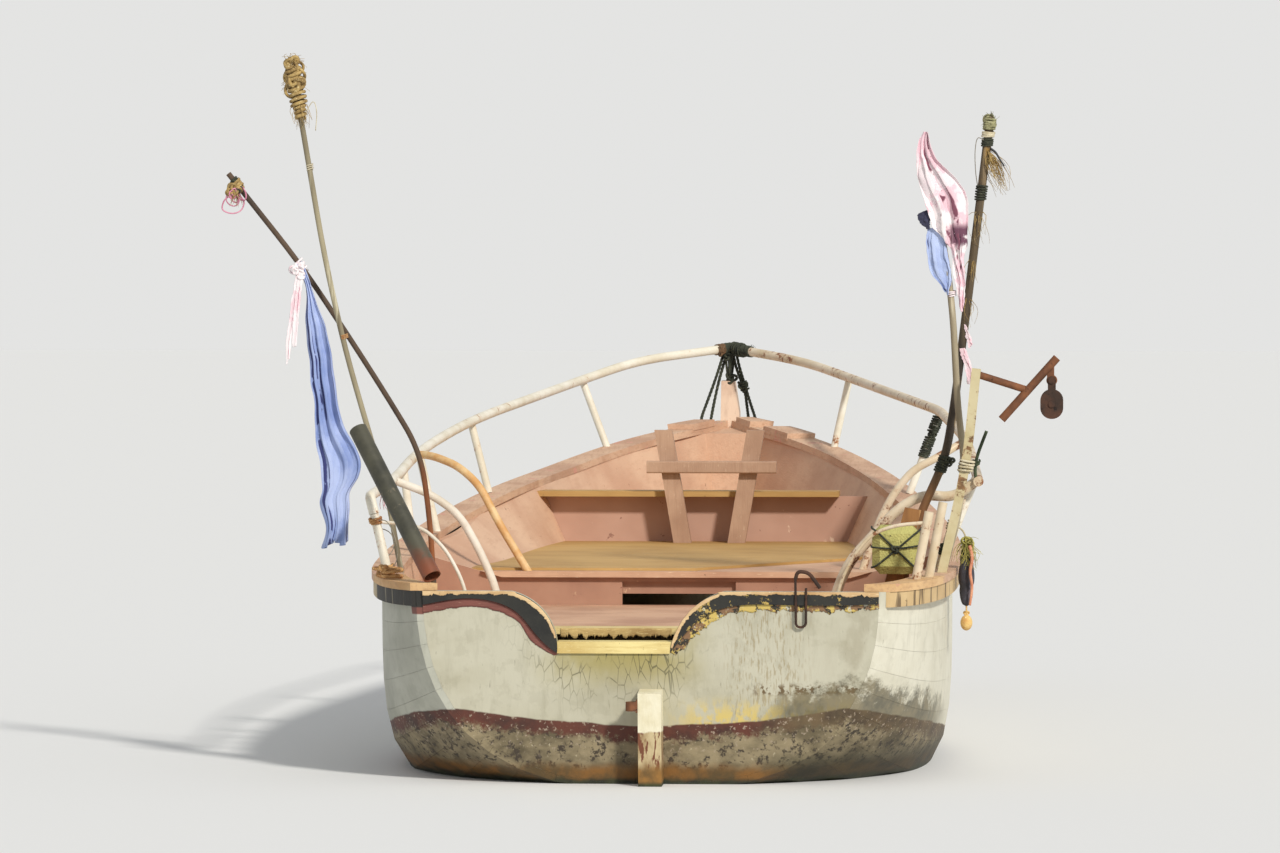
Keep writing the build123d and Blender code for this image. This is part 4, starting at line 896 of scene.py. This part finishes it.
LEG_SIZE = 0.011
HEAP_SIZE = 0.010
LANYARD_SIZE = 0.006
WIRE_SIZE = 0.003
PORT_OUTER_LEG = [(-0.026, 2.806, 1.272), (-0.034, 2.800, 1.240), (-0.058, 2.784, 1.165),
                  (-0.088, 2.756, 1.080), (-0.112, 2.735, 1.015), (-0.114, 2.748, 0.965),
                  (-0.090, 2.772, 0.936), (-0.060, 2.785, 0.930), (-0.026, 2.787, 0.930)]
PORT_INNER_LEG = [(-0.014, 2.806, 1.272), (-0.022, 2.803, 1.240), (-0.044, 2.796, 1.165),
                  (-0.062, 2.782, 1.080), (-0.074, 2.772, 1.015), (-0.080, 2.776, 0.975),
                  (-0.068, 2.790, 0.950), (-0.050, 2.798, 0.946), (-0.026, 2.800, 0.946)]
STARBOARD_INNER_LEG = [(0.010, 2.806, 1.272), (0.016, 2.800, 1.230), (0.040, 2.786, 1.165),
                       (0.058, 2.780, 1.120), (0.066, 2.770, 1.060), (0.072, 2.766, 1.012),
                       (0.076, 2.772, 0.972), (0.060, 2.790, 0.950), (0.026, 2.800, 0.946)]
STARBOARD_OUTER_LEG = [(0.022, 2.806, 1.272), (0.030, 2.800, 1.230), (0.050, 2.788, 1.165),
                       (0.064, 2.784, 1.120), (0.084, 2.762, 1.060), (0.100, 2.748, 1.015),
                       (0.106, 2.756, 0.968), (0.086, 2.774, 0.936), (0.058, 2.785, 0.930),
                       (0.026, 2.787, 0.930)]
FOAM_LASHINGS = [
    [(0.690, -2.020, 0.806), (0.693, -2.080, 0.803), (0.712, -2.1055, 0.790), (0.771, -2.1075, 0.735),
     (0.830, -2.1055, 0.680), (0.850, -2.080, 0.664), (0.853, -2.020, 0.660)],
    [(0.690, -2.020, 0.672), (0.693, -2.080, 0.674), (0.712, -2.1055, 0.684), (0.771, -2.1075, 0.732),
     (0.830, -2.1055, 0.782), (0.850, -2.080, 0.798), (0.853, -2.020, 0.802)],
    [(0.690, -2.020, 0.742), (0.692, -2.084, 0.741), (0.712, -2.1060, 0.740), (0.771, -2.1078, 0.737),
     (0.830, -2.1060, 0.744), (0.852, -2.084, 0.748), (0.853, -2.020, 0.750)],
]
LANYARD = [(1.001, -1.950, 0.728), (1.001, -1.952, 0.760), (0.992, -1.958, 0.788), (0.974, -1.966, 0.804),
           (0.957, -1.967, 0.808)]
WIRE_LOOP = [(-0.912, -2.416, 0.838), (-0.884, -2.430, 0.846), (-0.862, -2.436, 0.815),
             (-0.846, -2.438, 0.770), (-0.842, -2.436, 0.725), (-0.852, -2.430, 0.690),
             (-0.874, -2.418, 0.680)]
WIRE_BIGHT = [(-0.906, -2.384, 0.812), (-0.876, -2.372, 0.806), (-0.858, -2.368, 0.772),
              (-0.862, -2.370, 0.735), (-0.884, -2.384, 0.716)]


def heap_route():
    """Loose turns dropped on the cap by the port quarter post, begun at the post's foot."""
    route = [(-0.880, -2.384, 0.690), (-0.900, -2.392, 0.684), (-0.908, -2.420, 0.672),
             (-0.906, -2.450, 0.663)]
    turns, each = 3, 14
    for i in range(turns * each + 1):
        turn = math.pi + 2 * math.pi * i / each
        level = i / each
        radius = 0.046 - 0.004 * level + 0.009 * math.sin(1.7 * turn)
        x = -0.866 + 0.006 * math.sin(2.3 * level) + radius * math.cos(turn)
        y = -2.478 + 0.008 * math.cos(1.9 * level) + 1.1 * radius * math.sin(turn)
        route.append((x, y, 0.660 + 0.0112 * level + 0.006 * math.sin(turn * 0.5 + 1)))
    x, y, z = route[-1]
    return route + [(x - 0.002, y - 0.022, z + 0.006), (x + 0.012, y - 0.044, z - 0.004)]


def cords():
    """Every rope and wire that is free along its length."""
    dark = rope_paint("rope_dark", (58, 62, 48), (32, 36, 30), (104, 104, 78))
    coir = rope_paint("rope_coir", (206, 160, 104), (150, 98, 60), (228, 198, 146))
    rusty = rope_paint("rope_rusty", (112, 84, 58), (64, 52, 38), (150, 116, 80))
    pale = rope_paint("rope_pale", (216, 206, 178), (178, 164, 130), (236, 228, 206))
    wire = iron("wire_grey", (128, 122, 112), (164, 156, 142), 40)
    legs = [("bow_rope_port_outer", PORT_OUTER_LEG), ("bow_rope_port_inner", PORT_INNER_LEG),
            ("bow_rope_starboard_inner", STARBOARD_INNER_LEG),
            ("bow_rope_starboard_outer", STARBOARD_OUTER_LEG)]
    for name, route in legs:
        cord(name, route, LEG_SIZE, dark)
    route = heap_route()
    end = Vector(route[-1])
    stop = bundle("quarter_rope_knot", [knot(end, 0.026, 0.0055)], coir)
    cord("quarter_rope", route, HEAP_SIZE, coir, fine=12)
    cord("fender_lanyard", LANYARD, LANYARD_SIZE, pale)
    cord("wire_loop_aft", WIRE_LOOP, WIRE_SIZE, wire, False)
    cord("wire_loop_fore", WIRE_BIGHT, WIRE_SIZE, wire, False)
    return dark, coir, pale, wire, rusty


def hanging_turns(foot, top, spread, count, cord_radius, seed):
    """A maker of tight loops from the rails down to a knot below them."""
    chance = random.Random(seed)
    foot, top = Vector(foot), Vector(top)
    lines = []
    for _ in range(count):
        shift = Vector((chance.uniform(-spread, spread), 0, 0))
        wide = chance.uniform(0.006, 0.011)
        line = []
        for i in range(29):
            t = 2 * math.pi * i / 28
            share = 0.5 + 0.5 * math.cos(t)
            middle = foot.lerp(top, share) + shift * (0.25 + 0.75 * share)
            line.append(middle + Vector((wide * 0.6 * math.sin(t), wide * 2.0 * math.sin(t), 0)))
        lines.append(line)
    return lambda offset: tubes_data(lines, cord_radius, 6, offset)


def bow_lashing(dark, rusty):
    """Rope turned many times round the point where the two rails meet, and down to the stem's head."""
    parts = [winding((-0.030, 2.775, 1.284), (-0.002, 2.811, 1.2875), 0.0135, 6, 0.0045, 1.0),
             winding((0.088, 2.692, 1.2745), (0.002, 2.809, 1.2869), 0.0135, 14, 0.0045, 3.0),
             winding((0.055, 2.738, 1.2793), (0.012, 2.796, 1.2853), 0.0200, 5, 0.0042, 7.0),
             hanging_turns((-0.004, 2.812, 1.172), (-0.006, 2.800, 1.292), 0.020, 7, 0.0048, 15),
             knot((0.002, 2.806, 1.172), 0.040, 0.0055, 0.5),
             knot((-0.010, 2.782, 1.258), 0.032, 0.0048, 0.6),
             winding((0.044, 2.787, 1.160), (0.060, 2.782, 1.122), 0.0115, 4, 0.0040, 9.0),
             knot((0.052, 2.776, 1.140), 0.034, 0.0050, -0.4),
             fibres((0.070, 2.715, 1.285), (0.5, -0.2, 0.8), 26, 0.032, 0.7, 0.3, 0.0010, 61)]
    bundle("bow_lashing", parts, dark)
    parts = [winding((-0.054, 2.743, 1.2815), (-0.026, 2.780, 1.2847), 0.0135, 4, 0.0045, 5.0),
             knot((-0.036, 2.752, 1.270), 0.024, 0.0040, 0.2)]
    bundle("bow_lashing_port", parts, rusty)


def tall_pole_gear(straw, pale):
    """Rope and straw round the tall pole's tip, and a thread below it."""
    tip = [winding((-1.180, -2.19, 2.150), (-1.207, -2.19, 2.308), 0.009, 11, 0.0065, 1.0),
           winding((-1.186, -2.19, 2.190), (-1.208, -2.19, 2.314), 0.019, 8, 0.0060, 4.0),
           loops((-1.200, -2.192, 2.270), 0.030, 7, 0.0055, 11, 0.7),
           loops((-1.207, -2.192, 2.322), 0.024, 5, 0.0050, 12, 0.7),
           knot((-1.196, -2.206, 2.262), 0.052, 0.0075, 0.3),
           knot((-1.208, -2.196, 2.330), 0.044, 0.0065, -0.5),
           fibres((-1.207, -2.19, 2.330), (0, 0, 1), 46, 0.050, 0.75, 0.3, 0.0013, 21),
           fibres((-1.200, -2.19, 2.275), (-0.3, -0.2, 0.1), 40, 0.050, 0.9, 0.5, 0.0013, 22),
           fibres((-1.188, -2.19, 2.200), (0.2, 0, -1), 46, 0.075, 0.32, 0.3, 0.0013, 23)]
    bundle("tall_pole_tip_rope", tip, straw)
    line = [(-1.170, -2.198, 2.160), (-1.140, -2.200, 2.205), (-1.128, -2.198, 2.170),
            (-1.132, -2.196, 2.110)]
    thread = [tube(line, 0.0015, 24, 5),
              winding((-1.150, -2.19, 1.980), (-1.153, -2.19, 2.000), 0.009, 3, 0.002, 3.0)]
    bundle("tall_pole_thread", thread, pale)


def raking_pole_gear(straw, dark, coir):
    """Straw and a thin ribbon on the raking pole's tip, and cord where the port poles cross."""
    tuft = [winding((-1.389, -2.11, 1.919), (-1.407, -2.11, 1.942), 0.009, 3, 0.0055, 2.0),
            loops((-1.404, -2.118, 1.908), 0.020, 5, 0.0038, 14, 0.6),
            knot((-1.404, -2.122, 1.915), 0.034, 0.0055, 0.5),
            fibres((-1.402, -2.12, 1.912), (0.15, -0.2, -1), 34, 0.040, 0.42, 0.4, 0.0012, 24)]
    bundle("raking_pole_tip_straw", tuft, straw)
    turns = [winding((-1.404, -2.11, 1.938), (-1.414, -2.11, 1.950), 0.009, 2, 0.004, 6.0),
             knot((-1.392, -2.124, 1.918), 0.020, 0.004, 0.1)]
    bundle("raking_pole_tip_dark", turns, dark)
    curl = rope_paint("ribbon_thin", (220, 150, 172), (190, 110, 138), (238, 196, 206))
    line = [(-1.398, -2.124, 1.900), (-1.436, -2.128, 1.886), (-1.447, -2.130, 1.852),
            (-1.418, -2.130, 1.838), (-1.388, -2.128, 1.846), (-1.376, -2.124, 1.874),
            (-1.392, -2.122, 1.900)]
    ribbon = [loops((-1.398, -2.124, 1.898), 0.026, 5, 0.0022, 71, 0.5), tube(line, 0.0024, 60, 6)]
    bundle("raking_pole_tip_ribbon", ribbon, curl)
    cross = [lash((-1.043, -2.150, 1.432), 0.050, 0.0115, (-0.24, 0, 0.97), 3, 0.0024)]
    bundle("port_poles_lashing", cross, coir)


def main_pole_gear(straw, dark, pale, wire):
    """Rope, frayed straw, tape and a wire on the starboard pole."""
    top = [winding((1.0725, -1.95, 2.112), (1.0775, -1.95, 2.150), 0.014, 5, 0.0042, 1.0),
           loops((1.080, -1.955, 2.140), 0.018, 4, 0.0035, 31, 0.6),
           fibres((1.078, -1.95, 2.150), (0.1, 0, 1), 20, 0.030, 0.6, 0.2, 0.0012, 32)]
    green = rope_paint("rope_green", (176, 172, 128), (92, 90, 62), (214, 210, 172))
    bundle("main_pole_top_rope", top, green)
    ring = winding((1.0697, -1.95, 2.088), (1.0720, -1.95, 2.106), 0.0145, 3, 0.004, 2.0)
    bundle("main_pole_ring", [ring], pale)
    wraps = [winding((1.0660, -1.95, 2.058), (1.0690, -1.95, 2.084), 0.014, 4, 0.0035, 3.0),
             winding((1.0445, -1.95, 1.880), (1.0505, -1.95, 1.930), 0.014, 6, 0.0035, 4.0),
             winding((0.9105, -1.95, 0.983), (0.9320, -1.95, 1.036), 0.014, 7, 0.0042, 5.0),
             knot((0.946, -1.966, 1.020), 0.030, 0.0045, 0.2)]
    bundle("main_pole_wraps", wraps, dark)
    frayed = [fibres((1.068, -1.955, 2.040), (0.42, -0.1, -0.75), 60, 0.125, 0.13, 0.25, 0.0014, 33),
              fibres((1.040, -1.955, 1.840), (0.12, -0.2, -1), 14, 0.110, 0.16, 0.1, 0.0010, 34),
              fibres((1.022, -1.955, 1.690), (-0.1, -0.2, -1), 14, 0.090, 0.12, 0.1, 0.0010, 35),
              fibres((1.005, -1.955, 1.560), (0.1, -0.2, -1), 12, 0.090, 0.12, 0.1, 0.0010, 36)]
    bundle("main_pole_straw", frayed, straw)
    tape = Paint("tape_black")
    tape.finish(tape.vary((38, 36, 36), (22, 22, 22), 40), 0.5, tape.noise(200), 0.4, 0.001)
    strip = [(1.078, -1.966, 2.052), (1.096, -1.972, 2.038), (1.108, -1.975, 2.018), (1.124, -1.972, 1.994)]
    bundle("main_pole_tape", [tube(strip, lambda t: 0.0045 * (1 - 0.4 * t), 20, 6)], tape.material)
    hanger = [(1.056, -1.966, 2.080), (1.036, -1.972, 2.085), (1.028, -1.972, 2.040), (1.030, -1.972, 1.975),
              (1.036, -1.968, 1.930)]
    bundle("main_pole_wire", [tube(hanger, 0.0015, 40, 6)], wire)


def lash(centre, reach, across, axis, turns, cord_radius):
    """A maker of turns that go round two poles side by side in y."""
    centre, axis = Vector(centre), Vector(axis).normalized()
    y = Vector((0, 1, 0))
    side = axis.cross(y).normalized()
    steps = turns * 20
    line = []
    for i in range(steps + 1):
        turn = 2 * math.pi * i / 20
        along = (i / steps - 0.5) * turns * cord_radius * 2.1
        line.append(centre + axis * along + y * (reach * math.cos(turn)) + side * (across * math.sin(turn)))
    return lambda offset: tube_data(line, cord_radius, 6, offset)


STANCHION_FOOT = Vector((0.755, 0.350, 0.822))
STANCHION_HEAD = Vector((0.866, 0.350, 1.117))


def rail_gear(dark, coir, pale):
    """Windings on the stanchion and on the posts of both quarters."""
    def place(z):
        share = (z - STANCHION_FOOT.z) / (STANCHION_HEAD.z - STANCHION_FOOT.z)
        return STANCHION_FOOT.lerp(STANCHION_HEAD, share)

    turns = [winding(place(0.950), place(1.022), 0.0135, 9, 0.0040, 1.0),
             winding(place(1.040), place(1.098), 0.0135, 7, 0.0040, 2.0),
             knot(place(1.030) + Vector((0.004, -0.016, 0)), 0.030, 0.0042)]
    bundle("stanchion_winding", turns, dark)
    turns = [winding((0.9505, -1.95, 0.790), (0.9610, -1.95, 0.823), 0.015, 4, 0.0036, 1.0),
             winding((0.9975, -2.13, 0.990), (1.0075, -2.13, 1.030), 0.019, 4, 0.0040, 3.0),
             winding((1.0020, -1.95, 0.742), (1.0015, -1.95, 0.728), 0.008, 3, 0.0036, 5.0)]
    bundle("post_lashings_pale", turns, pale)
    turns = [winding((0.996, -2.05, 0.985), (0.9975, -2.05, 1.025), 0.011, 6, 0.004, 2.0),
             lash((0.999, -2.090, 1.006), 0.058, 0.020, (0.1, 0, 1), 4, 0.0038),
             winding((0.9255, -1.95, 0.709), (0.9365, -1.95, 0.745), 0.015, 5, 0.004, 6.0)]
    bundle("post_lashings_dark", turns, dark)
    turns = [winding((-0.8745, -2.40, 0.664), (-0.8785, -2.40, 0.692), 0.0155, 3, 0.005, 3.0),
             winding((-0.9195, -2.40, 0.848), (-0.9155, -2.40, 0.828), 0.0155, 3, 0.004, 4.0)]
    bundle("quarter_post_turns", turns, coir)


def port_ribbon():
    """A pink ribbon tied round the tall pole."""
    ribbon = rope_paint("ribbon_cord", (222, 168, 176), (186, 112, 128), (240, 214, 214))
    tie = [winding((-0.8962, -2.19, 0.912), (-0.9050, -2.19, 0.945), 0.009, 4, 0.004, 3.0),
           knot((-0.905, -2.206, 0.930), 0.030, 0.005, 0.4),
           fibres((-0.905, -2.210, 0.928), (0.2, -0.2, -1), 14, 0.060, 0.35, 0.1, 0.0020, 41)]
    bundle("port_ribbon_tie", tie, ribbon)


def green_stick():
    """A thin green stick lashed at the end of the starboard rail."""
    green = rope_paint("stick_green", (72, 84, 58), (44, 54, 38), (106, 112, 80))
    stick = [(1.031, -1.878, 0.956), (1.028, -1.889, 0.985), (1.031, -1.896, 1.015), (1.041, -1.901, 1.052),
             (1.066, -1.900, 1.118)]
    parts = [tube(stick, 0.0055, 28, 8),
             winding((1.029, -1.893, 1.004), (1.033, -1.896, 1.022), 0.0085, 3, 0.003, 2.0)]
    bundle("green_stick", parts, green)


def fender_gear():
    """The net above the fender, and the strip and the ball that hang by it."""
    net = rope_paint("net_green", (188, 178, 96), (132, 128, 62), (214, 206, 140))
    rag = [fibres((1.000, -1.955, 0.752), (0.05, -0.3, -1), 120, 0.085, 0.30, 0.1, 0.0013, 42),
           knot((1.002, -1.962, 0.752), 0.036, 0.005),
           loops((1.002, -1.966, 0.748), 0.018, 5, 0.0025, 43, 0.8)]
    bundle("fender_net", rag, net)
    orange = rope_paint("strip_orange", (222, 158, 124), (188, 112, 84), (236, 190, 160))
    strip = [(1.012, -1.985, 0.742), (1.020, -1.992, 0.700), (1.014, -1.994, 0.655), (1.020, -1.992, 0.605),
             (1.013, -1.990, 0.545)]
    bundle("fender_strip", [tube(strip, lambda t: 0.0062 - 0.002 * t, 40, 6)], orange)
    yellow = rope_paint("ball_yellow", (226, 190, 120), (196, 146, 84), (240, 220, 168))
    axis = [(1.001, -1.952, 0.512), (1.001, -1.952, 0.500), (1.001, -1.952, 0.486), (1.001, -1.952, 0.470),
            (1.001, -1.952, 0.460)]
    string = [(1.001, -1.952, 0.560), (1.001, -1.951, 0.530), (1.001, -1.952, 0.500)]
    ball = [tube(axis, lambda t: 0.020 * math.sqrt(max(0.02, 1 - (2 * t - 1) ** 2)), 30, 20),
            tube(string, 0.003, 12, 6),
            knot((1.001, -1.952, 0.516), 0.018, 0.003)]
    bundle("fender_ball", ball, yellow)


def foam_lashing(dark):
    """The cord that crosses the foam float."""
    cross = [tube(line, 0.0034, 40, 6) for line in FOAM_LASHINGS]
    cross.append(knot((0.770, -2.112, 0.735), 0.026, 0.0036))
    bundle("foam_lashing", cross, dark)


# Fender

def fender():
    """A stuffed cloth roll with two tied waists."""
    low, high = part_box("fender")
    centre = (Vector(low) + Vector(high)) / 2
    radius = (high[0] - low[0]) / 2
    tall = high[2] - low[2]
    rows, sides = 40, 40
    vertices, faces = [], []
    for i in range(rows + 1):
        t = i / rows
        crown = math.sin(math.pi * min(1, max(0, t))) ** 0.30
        for k in range(sides):
            turn = 2 * math.pi * k / sides
            lump = 1 + 0.10 * noise.noise(Vector((math.cos(turn) * 1.7, math.sin(turn) * 1.7, t * 5)))
            waist = 1 - 0.10 * math.exp(-((t - 0.33) / 0.04) ** 2) - 0.10 * math.exp(-((t - 0.7) / 0.04) ** 2)
            r = radius * 0.80 * max(crown, 0.12) * lump * waist
            out = Vector((r * math.cos(turn), r * math.sin(turn), (t - 0.5) * tall * 0.99))
            vertices.append(centre + out)
    for i in range(rows):
        for k in range(sides):
            a, b = i * sides + k, i * sides + (k + 1) % sides
            faces.append((a, b, b + sides, a + sides))
    faces.append(tuple(reversed(range(sides))))
    faces.append(tuple(rows * sides + k for k in range(sides)))
    p = Paint("fender_cloth")
    tone = p.vary((70, 68, 76), (44, 42, 46), 12)
    tone = p.specks(tone, (120, 112, 120), 30, 0.60, 0.64, (1, 1, 0.3))
    p.finish(tone, 0.9, p.noise(300, detail=2.0), 0.5, 0.002)
    piece = mesh_object("fender_stuffed", vertices, faces, p.material)
    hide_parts("fender")


# Camera, light and floor

CAMERA_PLACE = (1.50, -29.54, 2.0)
CAMERA_AIM = (-0.05715, 0.9984, -0.0314)
SENSOR = 36
LENS = 235
FLOOR_HALF = 60
FLOOR_GREY = (0.80, 0.80, 0.79, 1)
FILL_COLOUR = (0.93, 0.96, 1.0, 1)
FILL_STRENGTH = 0.48
BACKDROP = (0.775, 0.775, 0.765, 1)
SUN_AIM = (-0.44, 0.74, -0.56)
SUN_STRENGTH = 2.9
SUN_COLOUR = (1.0, 0.97, 0.91)
SUN_SPREAD = math.radians(5)


def camera_view():
    """The camera, low and far behind the boat."""
    camera = bpy.data.objects.new("camera", bpy.data.cameras.new("camera"))
    bpy.context.scene.collection.objects.link(camera)
    camera.location = CAMERA_PLACE
    camera.rotation_euler = Vector(CAMERA_AIM).to_track_quat("-Z", "Y").to_euler()
    camera.data.sensor_width = SENSOR
    camera.data.lens = LENS
    camera.data.clip_end = 200
    bpy.context.scene.camera = camera


def floor():
    """A plain pale floor."""
    corners = [(x * FLOOR_HALF, y * FLOOR_HALF, 0) for x, y in ((-1, -1), (1, -1), (1, 1), (-1, 1))]
    ground = mesh_object("floor", corners, [(0, 1, 2, 3)], bpy.data.materials.new("floor_pale"), None)
    material = ground.data.materials[0]
    material.use_nodes = True
    tree = material.node_tree
    shader = tree.nodes["Principled BSDF"]
    shader.inputs["Base Color"].default_value = FLOOR_GREY
    shader.inputs["Roughness"].default_value = 0.9


def sky():
    """A soft fill light, which the camera sees as a plain backdrop."""
    world = bpy.context.scene.world or bpy.data.worlds.new("world")
    bpy.context.scene.world = world
    world.use_nodes = True
    tree = world.node_tree
    tree.nodes.clear()
    out = tree.nodes.new("ShaderNodeOutputWorld")
    fill = tree.nodes.new("ShaderNodeBackground")
    fill.inputs["Color"].default_value = FILL_COLOUR
    fill.inputs["Strength"].default_value = FILL_STRENGTH
    seen = tree.nodes.new("ShaderNodeBackground")
    seen.inputs["Color"].default_value = BACKDROP
    path = tree.nodes.new("ShaderNodeLightPath")
    rays = tree.nodes.new("ShaderNodeMath")
    rays.operation = "MAXIMUM"
    tree.links.new(path.outputs["Is Camera Ray"], rays.inputs[0])
    tree.links.new(path.outputs["Is Glossy Ray"], rays.inputs[1])
    blend = tree.nodes.new("ShaderNodeMixShader")
    tree.links.new(rays.outputs[0], blend.inputs[0])
    tree.links.new(fill.outputs[0], blend.inputs[1])
    tree.links.new(seen.outputs[0], blend.inputs[2])
    tree.links.new(blend.outputs[0], out.inputs["Surface"])


def sun():
    """One soft sun."""
    key = bpy.data.objects.new("key", bpy.data.lights.new("key", "SUN"))
    bpy.context.scene.collection.objects.link(key)
    key.data.energy = SUN_STRENGTH
    key.data.angle = SUN_SPREAD
    key.data.color = SUN_COLOUR
    key.rotation_euler = Vector(SUN_AIM).to_track_quat("-Z", "Y").to_euler()
    bpy.context.scene.view_settings.view_transform = "Standard"


camera_view()
floor()
sky()
sun()
dark_rope, coir_rope, pale_rope, grey_wire, rusty_rope = cords()
paint_nodes()
stripes()
cloths()
fender()
bow_lashing(dark_rope, rusty_rope)
straw_rope = rope_paint("straw", (186, 158, 100), (116, 90, 52), (224, 206, 156))
tall_pole_gear(straw_rope, pale_rope)
raking_pole_gear(straw_rope, dark_rope, coir_rope)
main_pole_gear(straw_rope, dark_rope, pale_rope, grey_wire)
rail_gear(dark_rope, coir_rope, pale_rope)
port_ribbon()
green_stick()
fender_gear()
foam_lashing(dark_rope)
